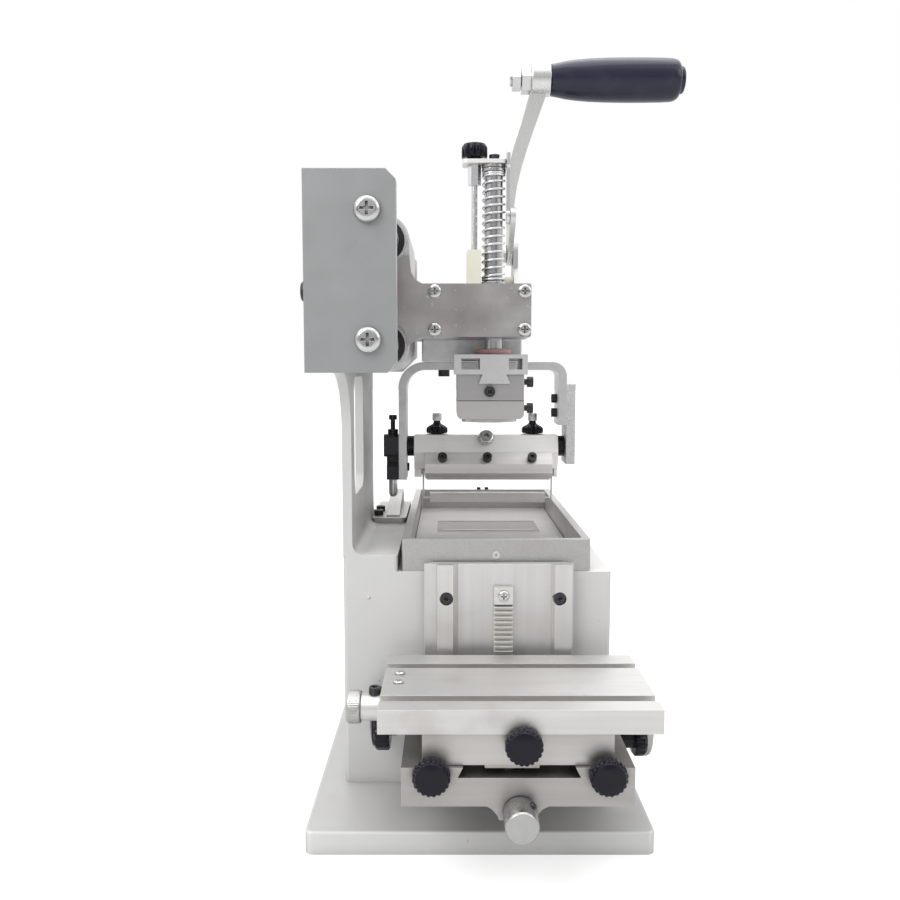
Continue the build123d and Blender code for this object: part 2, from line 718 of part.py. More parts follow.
def make_squeegee_pivots():
    """Tilt pins, spreader pins, the follower's tip and the bar's round-headed bolt."""
    left = rod("X", (-64, BAR_X[0] + 8), (TILT_Y, TILT_Z), 4)
    right = rod("X", (BAR_X[1] - 8, 76.5), (TILT_Y, TILT_Z), 4)
    hooks = [rod("X", span, (TILT_Y, SPREADER_Z), 1.1) for span in ((-42, -37.0), (61.3, 65))]
    tip = rod("Z", (183.6, 198), (-61.8, TILT_Y), 3.4)
    tip += Pos(-61.8, TILT_Y, 184.2) * Sphere(3.4)
    slope = (0, -10, 7)
    head = Pos(0, 0, 2) * Cylinder(6, 4)
    head = fillet(head.faces().sort_by(Axis.Z)[-1].edges(), 1.8)
    head -= Pos(0, 0, 1.8) * extrude(RegularPolygon(2.3, 6), 3)
    bolt = aim((PAD_X - 0.8, 36.8, 227.6), slope) * (head + Pos(0, 0, -5) * Cylinder(3, 10))
    return group(left, right, *hooks, tip, bolt)


def make_blade_clamp():
    outline = [
        (33, 217),
        (37, 204),
        (37, 197),
        (30.5, 197),
        (26, 201.5),
        (26, 208.5),
        CLAMP_EDGE,
    ]
    return prism("X", outline, (-36.4, 60.9))


def make_doctor_blade():
    return block((-35.5, 60), (37, 37.8), (195.2, 203.9))


def make_squeegee_screws():
    """Clamp screws of the blade, and the follower's adjusting screw."""
    slope = (0, -0.817, 0.577)
    screws = [cap_screw((x, 28.8, 212.5), slope, 4, 9) for x in CLAMP_X]
    screws.append(cap_screw((-61.8, TILT_Y, 241.5), (0, 0, 1), 3.6, 24))
    return screws


def make_follower_body():
    """Clamp and tapered arm that hang the follower beside the yoke."""
    left, right = FOLLOWER_X
    clamp = block((left - 2, right), (37, 53), (213, 230))
    clamp = fillet(clamp.edges().filter_by(Axis.X), 2.5)
    nut = rod("Z", (230, 234), (-61.8, TILT_Y), 4)
    taper = [(39, 195), (51, 195), (51, 205), (48.5, 209), (50, 214), (40, 214), (41.5, 209), (39, 205)]
    return clamp + nut + prism("X", taper, FOLLOWER_X)


def make_tilt_discs():
    left = rod("X", (-50.1, BAR_X[0]), (TILT_Y, TILT_Z), 8)
    right = rod("X", (BAR_X[1], 71.1), (TILT_Y, TILT_Z), 8)
    return [left, right]


def make_pressure_knob(x):
    """Thumb screw through the bar's top with its lock knob."""
    knob = star_knob((x, 48, 230.4), (0, 0, 1), 8.5, 6.5, 0.6, 2.5, 14, lobes=10)
    neck = rod("Z", (236.5, 241), (x, 48), 2.4)
    return knob + neck + rod("Z", (240.5, 246.5), (x, 48), 3.6)


def make_ink_spreader():
    """Spreader bar hung on two wires with eyelets."""
    bar = block((-33, 57), (TILT_Y - 2.5, TILT_Y + 2.5), (176.4, 184.5))
    bar = fillet(bar.edges().filter_by(Axis.X), 0.8)
    for wire_x, inner_x in ((-38.1, -32), (62.2, 56)):
        eye = rod("X", (wire_x - 0.8, wire_x + 0.8), (TILT_Y, SPREADER_Z), 3)
        eye -= rod("X", (wire_x - 2, wire_x + 2), (TILT_Y, SPREADER_Z), 1.1 + RUN)
        wire = rod("Z", (180, SPREADER_Z - 2), (wire_x, TILT_Y), 0.8)
        wire -= rod("X", (wire_x - 2, wire_x + 2), (TILT_Y, SPREADER_Z), 1.1 + RUN)
        foot = rod("X", sorted((wire_x, inner_x)), (TILT_Y, 180), 0.8)
        bar += eye + wire + foot + Pos(wire_x, TILT_Y, 180) * Sphere(0.8)
    return bar


# ---------------------------------------------------------------- work table


def make_knee_block():
    """Lower slide: guideway shoes behind, cross dovetail on top, screw boss below."""
    knee = block(KNEE_X, KNEE_Y, KNEE_Z)
    knee += block(KNEE_X, (KNEE_Y[1] - 1, -94.5), (WING_Z[0], KNEE_Z[1]))
    knee += block(KNEE_X, (WING_FRONT, -94.5), WING_Z)
    knee += rod("Y", (KNEE_Y[0], -140), (FEED_X, FEED_Z), 10)
    flare = [
        (0, 53),
        (37, 53),
        (31.5, 50.6),
        (28.4, 47),
        (27.6, 44.5),
        (8.4, 44.5),
        (7.6, 47),
        (4.5, 50.6),
    ]
    knee += prism("Y", flare, (KNEE_Y[0], -140))
    way = [(-29.2, -92), (56.1, -92), (60.8, -98.9), (60.8, -104), (-33.9, -104), (-33.9, -98.9)]
    knee -= prism("Z", way, (40, 90))
    knee -= block((8.7, 23.5), (-106.5, -103), (40, 90))
    pocket_r = PINION_R + MODULE + 0.8
    knee -= block((8.7, 23.5), (SHAFT_Y - pocket_r, -103), (SHAFT_Z - pocket_r, SHAFT_Z + pocket_r))
    knee -= rod("X", (-50, 90), (SHAFT_Y, SHAFT_Z), 5 + RUN)
    dovetail = [(-10.5, 73.1), (48.5, 73.1), (51.3, 67.5), (-13.3, 67.5)]
    knee -= prism("Y", dovetail, (KNEE_Y[0] - 1, KNEE_Y[1] + 0.1))
    knee -= block((11.9, 24.1), (-190, -147), (38, 68))
    knee -= rod("Y", (KNEE_Y[0] - 1, -139), (FEED_X, FEED_Z), 4 + RUN)
    for x in FRONT_KNOB_X:
        knee -= rod("Y", (KNEE_Y[0] - 1, KNEE_Y[0] + 16), (x, 70), 2.5 + RUN)
    return knee - rod("X", (62, 80), (-148, 67), 2.5 + RUN)


def make_saddle():
    """Upper slide between the cross dovetail and the table's dovetail."""
    saddle = block(SADDLE_X, SADDLE_Y, SADDLE_Z)
    tongue = [(-10.2, 73.5), (48.2, 73.5), (50.9, 67.8), (-12.9, 67.8)]
    saddle += prism("Y", tongue, (-185, -130))
    saddle += block((1, 30), (-195, -184), (70.6, 73.5))
    saddle += block((12.3, 23.7), (-166, -154), (43, 69))
    key = [(-157.2, 90.4), (-142.8, 90.4), (-140.6, 95.6), (-159.4, 95.6)]
    saddle += prism("X", key, SADDLE_X)
    saddle += block((10, 30), (-174, -164), (90, 97.6))
    saddle -= rod("Y", (-170, -150), (FEED_X, FEED_Z), 4 + RUN)
    saddle -= rod("X", (5, 35), (TABLE_SCREW_Y, TABLE_SCREW_Z), 3 + RUN)
    return saddle - rod("Y", (-198, -180), (21, SADDLE_KNOB_Z), 2.5 + RUN)


def make_work_table():
    """Slotted table with the feed screw's round bearing on its left end."""
    table = block(TABLE_X, TABLE_Y, TABLE_Z)
    ends = (TABLE_X[0] - 1, TABLE_X[1] + 1)
    top = TABLE_Z[1]
    neck = 4.0
    for middle in (-183.0, -130.0):
        table -= block(ends, (middle - neck, middle + neck), (95.8, top + 1))
        table -= block(ends, (middle - 7, middle + 7), (95.8, 99.2))
    key = [(-157.4, 90.8), (-142.6, 90.8), (-140.3, 95.9), (-159.7, 95.9)]
    table -= prism("X", key, ends)
    table -= block(ends, (-175, -163), (90, 98))
    bush = rod("X", (TABLE_X[0] - 11, TABLE_X[0]), (TABLE_SCREW_Y, TABLE_SCREW_Z), 7.5)
    bush -= rod("X", (-70, -50), (TABLE_SCREW_Y, TABLE_SCREW_Z), 3 + RUN)
    screws = [cap_screw((-46.5, y, top - 2.6), (0, 0, 1), 3, 5) for y in (-143.5, -158.5)]
    pockets = [rod("Z", (top - 2.6, top + 1), (-46.5, y), 3.0) for y in (-143.5, -158.5)]
    table = table - group(*pockets) - group(*screws)
    return group(table, bush, *screws)


def make_table_feed_screw():
    """Feed screw of the table with its stepped silver knob."""
    screw = rod("X", (-70, 60), (TABLE_SCREW_Y, TABLE_SCREW_Z), 3)
    knob = rod("X", (-74.2, -66.6), (TABLE_SCREW_Y, TABLE_SCREW_Z), 9)
    return screw + fillet(knob.edges().filter_by(GeomType.CIRCLE), 0.8)


def make_cross_feed_screw():
    """Cross-feed screw with its plain silver knob."""
    screw = rod("Y", (-210, -142), (FEED_X, FEED_Z), 4)
    knob = rod("Y", (-218, KNEE_Y[0] - 0.4), (FEED_X, FEED_Z), 9)
    return screw + fillet(knob.edges().filter_by(GeomType.CIRCLE), 0.8)


def involute(radius, base_r):
    """Involute function of the pressure angle at a radius."""
    angle = math.acos(min(1.0, base_r / radius))
    return math.tan(angle) - angle


def make_pinion():
    """Spur pinion with involute flanks; one tooth points at the rack."""
    base_r = PINION_R * math.cos(math.radians(20))
    tip_r = PINION_R + MODULE
    root_r = PINION_R - 1.25 * MODULE
    half = math.pi / (2 * PINION_TEETH) - BACKLASH / PINION_R
    at_pitch = involute(PINION_R, base_r)
    steps = 5
    flank = [(root_r, half + at_pitch)]
    for index in range(steps + 1):
        radius = base_r + (tip_r - base_r) * index / steps
        flank.append((radius, half + at_pitch - involute(radius, base_r)))
    points = []
    for tooth in range(PINION_TEETH):
        middle = 2 * math.pi * tooth / PINION_TEETH
        sides = [(r, middle - a) for r, a in flank] + [(r, middle + a) for r, a in reversed(flank)]
        points += [(SHAFT_Y + r * math.cos(a), SHAFT_Z + r * math.sin(a)) for r, a in sides]
    return prism("X", points, (RACK_X[0] - 0.4, RACK_X[1] + 0.4))


def make_pinion_shaft():
    """Shaft with its pinion and the round handwheel on its right end."""
    shaft = rod("X", (-62, 100), (SHAFT_Y, SHAFT_Z), 5) + make_pinion()
    wheel = rod("X", (95, 104.5), (SHAFT_Y, SHAFT_Z), 22)
    wheel = fillet(wheel.edges().filter_by(GeomType.CIRCLE), 1.5)
    return shaft + wheel + rod("X", (84, 96), (SHAFT_Y, SHAFT_Z), 9)


def make_elevation_star_knob(shaft):
    knob = star_knob((-50, SHAFT_Y, SHAFT_Z), (-1, 0, 0), 19, 11, 4, 5, 0, lobes=9)
    return knob - shaft


# ---------------------------------------------------------------- assembly


def build_frame():
    pan_screws = make_frame_pan_screws()
    black_screws = make_frame_black_screws()
    rods = make_guide_rods()
    fasteners = group(pan_screws, black_screws)
    rack = make_elevation_rack() - pan_screws
    ramp = make_cam_ramp()
    casting = make_body_casting(group(fasteners, *rods)) - ramp
    return {
        "base_plate": make_base_plate(),
        "body_casting": casting,
        "head_covers": make_head_covers(fasteners),
        "frame_pan_screws": pan_screws,
        "frame_black_screws": black_screws,
        "guide_rods": group(*[piece - pan_screws for piece in rods]),
        "ink_tray": make_ink_tray() - black_screws - pan_screws,
        "printing_plate": make_printing_plate(),
        "cam_ramp": ramp - black_screws,
        "guideway_plate": make_guideway_plate() - fasteners,
        "guide_rails": group(*[rail - black_screws for rail in make_guide_rails()]),
        "elevation_rack": rack,
    }


def build_carriage():
    arm_screws = make_arm_screws()
    yoke_screws = make_yoke_screws()
    pivot_bolt = make_lever_pivot_bolt()
    return {
        "carriage_block": make_carriage_block(),
        "linear_bearings": make_linear_bearings(),
        "arm_front_plate": make_arm_front_plate() - arm_screws,
        "arm_block": make_arm_block() - arm_screws,
        "arm_screws": arm_screws,
        "nylon_parts": make_nylon_parts(),
        "return_spring": make_return_spring(),
        "fulcrum_plate": make_fulcrum_plate() - pivot_bolt,
        "lever_pivot_bolt": pivot_bolt,
        "yoke_bracket": make_yoke_bracket() - yoke_screws,
        "yoke": make_yoke() - yoke_screws,
        "yoke_side_plate": make_yoke_side_plate() - yoke_screws,
        "yoke_screws": yoke_screws,
    }


def build_lever():
    pins = make_lever_pins()
    return {
        "lever_arm": make_lever_arm() - pins,
        "lever_pins": pins,
        "handle_grip": make_handle_grip(),
        "drive_link": make_drive_link(),
    }


def build_ram():
    screws = make_ram_screws()
    shaft = make_pad_shaft()
    bracket = make_dovetail_bracket(shaft) - screws
    return {
        "pad_shaft": shaft - screws,
        "cushion_washer": make_cushion_washer(shaft),
        "shaft_top_bracket": make_shaft_top_bracket(shaft) - screws,
        "anti_rotation_rod": make_anti_rotation_rod(),
        "dovetail_bracket": bracket,
        "pad_holder": make_pad_holder(bracket, screws),
        "pad_clamp_plate": make_pad_clamp_plate(screws),
        "ram_screws": screws,
        "top_star_knob": star_knob(
            (GUIDE_ROD_X, PAD_Y, BRACKET_Z[1] + 0.3), (0, 0, 1), 8.6, 9, 1.5, 2, 2.8, lobes=10
        ),
    }


def build_squeegee():
    pivots = make_squeegee_pivots()
    screws = group(*make_squeegee_screws())
    fasteners = group(pivots, screws)
    knob_holes = group(*[rod("Z", (214, 232), (x, 48), 2.5 + RUN) for x in PRESSURE_X])
    return {
        "squeegee_bar": make_squeegee_bar() - fasteners - knob_holes,
        "squeegee_pivots": pivots,
        "blade_clamp": make_blade_clamp() - screws,
        "doctor_blade": make_doctor_blade(),
        "squeegee_screws": screws - pivots,
        "follower_body": make_follower_body() - fasteners,
        "tilt_discs": group(*[disc - pivots for disc in make_tilt_discs()]),
        "pressure_knob_left": make_pressure_knob(PRESSURE_X[0]),
        "pressure_knob_right": make_pressure_knob(PRESSURE_X[1]),
        "ink_spreader": make_ink_spreader(),
    }


def build_table():
    shaft = make_pinion_shaft()
    nodes = {
        "knee_block": make_knee_block(),
        "saddle": make_saddle(),
        "work_table": make_work_table(),
        "table_feed_screw": make_table_feed_screw(),
        "cross_feed_screw": make_cross_feed_screw(),
        "pinion_shaft": shaft,
        "elevation_star_knob": make_elevation_star_knob(shaft),
        "saddle_lock_knob": star_knob((21, -200.4, SADDLE_KNOB_Z), (0, -1, 0), 10, 6.6, 0.5, 2.5, 18),
        "right_lock_knob": star_knob((80, -148, 67), (1, 0, 0), 10, 7, 9, 2.5, 14),
    }
    for side, x in zip(("left", "right"), FRONT_KNOB_X):
        place = (x, KNEE_Y[0] - 0.3, 70)
        nodes[f"{side}_lock_knob_front"] = star_knob(place, (0, -1, 0), 10, 6.6, 0.5, 2.5, 14)
    return nodes


def main():
    nodes = {}
    for build in (build_frame, build_carriage, build_lever, build_ram, build_squeegee, build_table):
        nodes.update(build())
    for name, shape in nodes.items():
        export_step(shape, f"parts/{name}.step")
    print(len(nodes), "parts written")


main()
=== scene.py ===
"""Looks of the tabletop pad printing press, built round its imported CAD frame.

Metres. +X is the operator's right, +Y points away from the operator, +Z is up.
"""
import json
import math

import bmesh
import bpy
from mathutils import Matrix, Vector


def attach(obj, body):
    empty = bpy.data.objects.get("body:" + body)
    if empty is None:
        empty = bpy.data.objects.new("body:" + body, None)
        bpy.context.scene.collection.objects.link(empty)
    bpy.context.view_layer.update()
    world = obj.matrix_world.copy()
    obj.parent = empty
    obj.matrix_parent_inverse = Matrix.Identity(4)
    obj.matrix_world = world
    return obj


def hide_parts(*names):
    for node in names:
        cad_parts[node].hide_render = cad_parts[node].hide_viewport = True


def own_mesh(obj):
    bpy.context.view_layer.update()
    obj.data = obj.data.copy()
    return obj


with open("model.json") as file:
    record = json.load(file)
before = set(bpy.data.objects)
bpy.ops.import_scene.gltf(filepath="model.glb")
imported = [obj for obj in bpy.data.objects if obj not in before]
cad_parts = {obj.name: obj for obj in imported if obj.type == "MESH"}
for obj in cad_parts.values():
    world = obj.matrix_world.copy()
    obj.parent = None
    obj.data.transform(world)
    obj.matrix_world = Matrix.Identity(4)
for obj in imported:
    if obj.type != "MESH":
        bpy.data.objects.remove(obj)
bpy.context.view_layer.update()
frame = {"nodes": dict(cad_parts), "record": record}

MM = 0.001

# Places that several pieces share, in mm, where the CAD has them.
RAM_X = 11.5
RAM_Y = -48.0
ROD_X = -59.5
ROD_LEVELS = (("low", 295.5), ("high", 361.5))
ELEVATION_Y = -112.9
ELEVATION_Z = 65
CROSS_FEED_X = 19.3
CROSS_FEED_Z = 49
TABLE_FEED_Y = -169
TABLE_FEED_Z = 94

# ---------------------------------------------------------------- material graphs


class Finish:
    """Builds one Principled material with procedural grain, wear, painted shade and highlights, and bump."""

    def __init__(self, name, color, metallic, roughness):
        self.material = bpy.data.materials.new(name)
        self.material.use_nodes = True
        self.tree = self.material.node_tree
        self.shader = self.tree.nodes["Principled BSDF"]
        self.shader.inputs["Base Color"].default_value = (*color, 1.0)
        self.shader.inputs["Metallic"].default_value = metallic
        self.shader.inputs["Roughness"].default_value = roughness
        self.color = (*color, 1.0)
        if metallic == 0.0:
            self.shader.inputs["Specular IOR Level"].default_value = 0.35
        self.coords = self.node("ShaderNodeTexCoord").outputs["Object"]
        self.normal = None

    def node(self, kind, **settings):
        made = self.tree.nodes.new(kind)
        for key, value in settings.items():
            setattr(made, key, value)
        return made

    def link(self, source, target):
        self.tree.links.new(source, target)

    def noise(self, scale, stretch=(1, 1, 1), detail=4.0, offset=0.0):
        """Noise in object space; stretch below 1 draws the grain out along that axis."""
        mapping = self.node("ShaderNodeMapping")
        mapping.inputs["Scale"].default_value = stretch
        mapping.inputs["Location"].default_value = (offset, offset, offset)
        texture = self.node("ShaderNodeTexNoise")
        texture.inputs["Scale"].default_value = scale
        texture.inputs["Detail"].default_value = detail
        self.link(self.coords, mapping.inputs["Vector"])
        self.link(mapping.outputs["Vector"], texture.inputs["Vector"])
        return texture.outputs["Fac"]

    def cells(self, scale, feature="F1"):
        texture = self.node("ShaderNodeTexVoronoi", feature=feature)
        texture.inputs["Scale"].default_value = scale
        self.link(self.coords, texture.inputs["Vector"])
        return texture.outputs["Distance"]

    def remap(self, value, low, high, to_low=0.0, to_high=1.0):
        made = self.node("ShaderNodeMapRange")
        made.inputs["From Min"].default_value = low
        made.inputs["From Max"].default_value = high
        made.inputs["To Min"].default_value = to_low
        made.inputs["To Max"].default_value = to_high
        self.link(value, made.inputs["Value"])
        return made.outputs["Result"]

    def math(self, operation, a, b):
        made = self.node("ShaderNodeMath", operation=operation)
        for socket, value in zip(made.inputs, (a, b)):
            if isinstance(value, (int, float)):
                socket.default_value = value
            else:
                self.link(value, socket)
        return made.outputs["Value"]

    def tint(self, factor, color):
        """Blend the colour built so far towards another colour."""
        made = self.node("ShaderNodeMix", data_type="RGBA")
        self.link(factor, made.inputs["Factor"])
        source = self.shader.inputs["Base Color"]
        if source.is_linked:
            self.link(source.links[0].from_socket, made.inputs["A"])
        else:
            made.inputs["A"].default_value = self.color
        made.inputs["B"].default_value = (*color, 1.0)
        self.link(made.outputs["Result"], source)

    def vary_roughness(self, value, low, high):
        self.link(self.remap(value, 0.3, 0.7, low, high), self.shader.inputs["Roughness"])

    def round_off(self, radius):
        """Rounded look on sharp edges; returns the edge mask."""
        bevel = self.node("ShaderNodeBevel", samples=4)
        bevel.inputs["Radius"].default_value = radius
        flat = self.node("ShaderNodeNewGeometry").outputs["Normal"]
        dot = self.node("ShaderNodeVectorMath", operation="DOT_PRODUCT")
        self.link(bevel.outputs["Normal"], dot.inputs[0])
        self.link(flat, dot.inputs[1])
        self.normal = bevel.outputs["Normal"]
        return self.remap(dot.outputs["Value"], 0.98, 0.80)

    def shade_and_grime(self, reach, share, color=(0.03, 0.03, 0.03)):
        """Painted shade, with some dirt, where a recess closes in or two faces meet, taken from ambient
        occlusion.
        """
        closed = self.node("ShaderNodeAmbientOcclusion", samples=6)
        closed.inputs["Distance"].default_value = reach
        self.tint(self.remap(closed.outputs["AO"], 0.30, 0.75, share, 0.0), color)

    def paint_light_by_facing(self, axis, color):
        """Painted light and shade: give the faces that look along one of the part's own axes another tone;
        both ways for X.
        """
        normal = self.node("ShaderNodeTexCoord").outputs["Normal"]
        split = self.node("ShaderNodeSeparateXYZ")
        self.link(normal, split.inputs["Vector"])
        value = split.outputs[axis]
        if axis == "X":
            value = self.math("ABSOLUTE", value, 0.0)
        self.tint(self.remap(value, 0.5, 0.9), color)

    def bump(self, height, strength, distance):
        made = self.node("ShaderNodeBump")
        made.inputs["Strength"].default_value = strength
        made.inputs["Distance"].default_value = distance
        self.link(height, made.inputs["Height"])
        if self.normal:
            self.link(self.normal, made.inputs["Normal"])
        self.normal = made.outputs["Normal"]

    def done(self):
        if self.normal:
            self.link(self.normal, self.shader.inputs["Normal"])
        return self.material


def painted(name, color, roughness, texture, specks, metallic, facing=()):
    """Silver-grey machine paint over a casting or a sheet."""
    finish = Finish(name, color, metallic, roughness)
    edge = finish.round_off(0.7 * MM)
    # Painted light and shade: each listed face direction gets its own tone.
    for axis, face_light_tone in facing:
        finish.paint_light_by_facing(axis, face_light_tone)
    cloud = finish.noise(9, detail=3)
    finish.tint(finish.remap(cloud, 0.35, 0.75, 0.0, 0.25), [0.86 * c for c in color])
    # Lighter edges: partly edge wear, partly a painted highlight.
    finish.tint(finish.math("MULTIPLY", edge, 0.35), (0.78, 0.78, 0.78))
    chips = finish.remap(finish.noise(190, detail=2, offset=3), 0.745, 0.79)
    finish.tint(finish.math("MULTIPLY", chips, specks), (0.20, 0.17, 0.15))
    # Painted shade, with some dirt, in recesses and where faces meet, reaching 14 mm for contact shadows.
    finish.shade_and_grime(14 * MM, 0.25, (0.10, 0.09, 0.085))
    finish.vary_roughness(finish.noise(60), roughness - 0.06, roughness + 0.10)
    finish.bump(finish.noise(900, detail=3), texture, 0.15 * MM)
    finish.bump(finish.noise(55, detail=2, offset=5), 0.25, 0.25 * MM)
    return finish.done()


def metal(name, color, roughness, grain, grain_strength=0.25, marks=0.2, stain=(0.35, 0.31, 0.28),
          scale=220, metallic=0.95, shade_and_dirt=0.0, reach=2.0):
    """Machined metal; grain is the stretch that draws its tool marks out."""
    finish = Finish(name, color, metallic, roughness)
    edge = finish.round_off(0.35 * MM)
    lines = finish.noise(scale, stretch=grain, detail=5)
    cloud = finish.noise(28, detail=5, offset=2)
    finish.tint(finish.remap(lines, 0.3, 0.7, 0.0, 0.22), [0.72 * c for c in color])
    finish.tint(finish.remap(cloud, 0.58, 0.86, 0.0, marks), stain)
    # Lighter edges: partly edge wear, partly a painted highlight.
    finish.tint(finish.math("MULTIPLY", edge, 0.3), (0.95, 0.95, 0.95))
    # Painted shade, with some dirt, in recesses and where faces meet.
    if shade_and_dirt:
        finish.shade_and_grime(reach * MM, shade_and_dirt)
    both = finish.math("ADD", finish.math("MULTIPLY", lines, 0.5), finish.math("MULTIPLY", cloud, 0.5))
    finish.vary_roughness(both, roughness - 0.07, roughness + 0.14)
    finish.bump(lines, grain_strength, 0.06 * MM)
    return finish.done()


def arm_steel(name):
    """Ground plate with random handling scratches."""
    finish = Finish(name, (0.46, 0.44, 0.438), 0.95, 0.3)
    grain = finish.noise(160, stretch=(0.12, 1, 1.6), detail=3)
    cloud = finish.noise(40, detail=5, offset=4)
    finish.tint(finish.remap(cloud, 0.45, 0.7, 0.0, 0.4), (0.66, 0.65, 0.66))
    finish.tint(finish.remap(finish.noise(16, offset=9), 0.5, 0.75, 0.0, 0.45), (0.56, 0.46, 0.46))
    chips = finish.remap(finish.noise(330, detail=1, offset=21), 0.70, 0.76)
    finish.tint(finish.math("MULTIPLY", chips, 0.5), (0.80, 0.79, 0.79))
    shade = finish.noise(22, stretch=(0.7, 1, 1), detail=3, offset=13)
    finish.tint(finish.remap(shade, 0.48, 0.72, 0.0, 0.6), (0.27, 0.255, 0.255))
    finish.vary_roughness(cloud, 0.26, 0.48)
    finish.tint(finish.remap(grain, 0.35, 0.75, 0.0, 0.2), (0.33, 0.32, 0.32))
    return finish.done()


def plastic(name, color, roughness, bump=0.1, dust=0.15, metallic=0.0, gloss=0.35):
    finish = Finish(name, color, metallic, roughness)
    finish.shader.inputs["Specular IOR Level"].default_value = gloss
    edge = finish.round_off(0.25 * MM)
    haze = finish.noise(70, detail=4)
    finish.tint(finish.remap(haze, 0.5, 0.8, 0.0, dust), [min(1.0, c * 2.2 + 0.05) for c in color])
    # Lighter edges: partly edge wear, partly a painted highlight.
    finish.tint(finish.math("MULTIPLY", edge, 0.25), [min(1.0, c * 3 + 0.05) for c in color])
    finish.vary_roughness(haze, max(0.05, roughness - 0.06), roughness + 0.1)
    finish.bump(finish.noise(1500, detail=2), bump, 0.05 * MM)
    return finish.done()


def pebbled(name):
    """Rough cast face of the yoke's side plate."""
    finish = Finish(name, (0.66, 0.66, 0.66), 0.7, 0.5)
    finish.round_off(0.3 * MM)
    grain = finish.cells(900)
    finish.tint(finish.remap(grain, 0.1, 0.6, 0.5, 0.0), (0.36, 0.36, 0.36))
    finish.vary_roughness(finish.noise(120), 0.45, 0.65)
    finish.bump(grain, 0.9, 0.3 * MM)
    return finish.done()


def etched_plate(name):
    """Inked steel printing plate, streaked by the blade."""
    finish = Finish(name, (0.43, 0.42, 0.415), 0.7, 0.42)
    finish.round_off(0.2 * MM)
    streaks = finish.noise(90, stretch=(1, 0.06, 1), detail=5)
    cloud = finish.noise(18, detail=5, offset=6)
    finish.tint(finish.remap(streaks, 0.35, 0.7, 0.0, 0.35), (0.52, 0.50, 0.49))
    finish.tint(finish.remap(cloud, 0.4, 0.75, 0.0, 0.5), (0.37, 0.34, 0.33))
    finish.vary_roughness(cloud, 0.35, 0.55)
    finish.bump(finish.noise(1300), 0.25, 0.04 * MM)
    return finish.done()


# Stretch of the tool marks: below 1 along the axis that the cutter ran.
EVEN = (1, 1, 1)
ALONG_X = (0.04, 1, 1)
ALONG_Y = (1, 0.04, 1)
ALONG_Z = (1, 1, 0.04)

# Finishes given a recess strength get painted shade, with some dirt, in recesses and where faces meet.
MATERIALS = {
    "casting_paint": painted("casting_paint", (0.60, 0.597, 0.593), 0.42, 0.35, 0.5, 0.15),
    "cover_paint": painted("cover_paint", (0.30, 0.305, 0.308), 0.40, 0.15, 0.08, 0.35),
    "zinc_screws": metal("zinc_screws", (0.60, 0.60, 0.60), 0.13, EVEN, 0.05, 0.15, shade_and_dirt=0.95),
    "black_screws": metal("black_screws", (0.045, 0.045, 0.05), 0.36, EVEN, 0.1, 0.1,
                          metallic=0.6, shade_and_dirt=0.9),
    "ground_steel": metal("ground_steel", (0.70, 0.70, 0.71), 0.2, EVEN, 0.08, 0.12),
    "tray_aluminium": metal("tray_aluminium", (0.51, 0.50, 0.497), 0.46, EVEN, 0.4, 0.2, scale=700),
    "printing_plate_steel": etched_plate("printing_plate_steel"),
    "machined_aluminium": metal("machined_aluminium", (0.80, 0.785, 0.77), 0.56, ALONG_X, 0.3, 0.25,
                                shade_and_dirt=0.4),
    "satin_aluminium": metal("satin_aluminium", (0.62, 0.62, 0.62), 0.42, ALONG_Y, 0.2, 0.12, shade_and_dirt=0.4),
    "textured_aluminium": pebbled("textured_aluminium"),
    "rack_steel": metal("rack_steel", (0.78, 0.77, 0.74), 0.40, ALONG_X, 0.3, 0.35, shade_and_dirt=0.3),
    "bearing_steel": metal("bearing_steel", (0.66, 0.66, 0.67), 0.18, EVEN, 0.1, 0.3),
    "arm_plate_steel": arm_steel("arm_plate_steel"),
    "nylon": plastic("nylon", (0.70, 0.69, 0.575), 0.45, 0.1, 0.2),
    "spring_steel": metal("spring_steel", (0.72, 0.72, 0.73), 0.16, EVEN, 0.03, 0.05),
    "lever_plating": metal("lever_plating", (0.68, 0.68, 0.665), 0.27, ALONG_Z, 0.15, 0.15),
    "grip_plastic": plastic("grip_plastic", (0.016, 0.016, 0.034), 0.15, 0.04, 0.12),
    "fibre_washer": plastic("fibre_washer", (0.62, 0.38, 0.35), 0.6, 0.5, 0.15),
    "knob_plastic": plastic("knob_plastic", (0.007, 0.006, 0.012), 0.14, 0.02, 0.02, gloss=0.24),
    "blade_steel": metal("blade_steel", (0.58, 0.57, 0.57), 0.3, ALONG_X, 0.2, 0.2),
    "black_oxide": metal("black_oxide", (0.05, 0.05, 0.055), 0.4, EVEN, 0.2, 0.1, metallic=0.6),
    "table_metal": metal("table_metal", (0.69, 0.68, 0.665), 0.44, ALONG_X, 0.4, 0.4, shade_and_dirt=0.2),
    "wheel_steel": metal("wheel_steel", (0.46, 0.46, 0.445), 0.28, EVEN, 0.12, 0.2, shade_and_dirt=0.5),
    "seal_rubber": plastic("seal_rubber", (0.012, 0.012, 0.014), 0.4, 0.2, 0.2),
    "ink_residue": plastic("ink_residue", (0.27, 0.245, 0.24), 0.34, 0.3, 0.1, metallic=0.3),
}
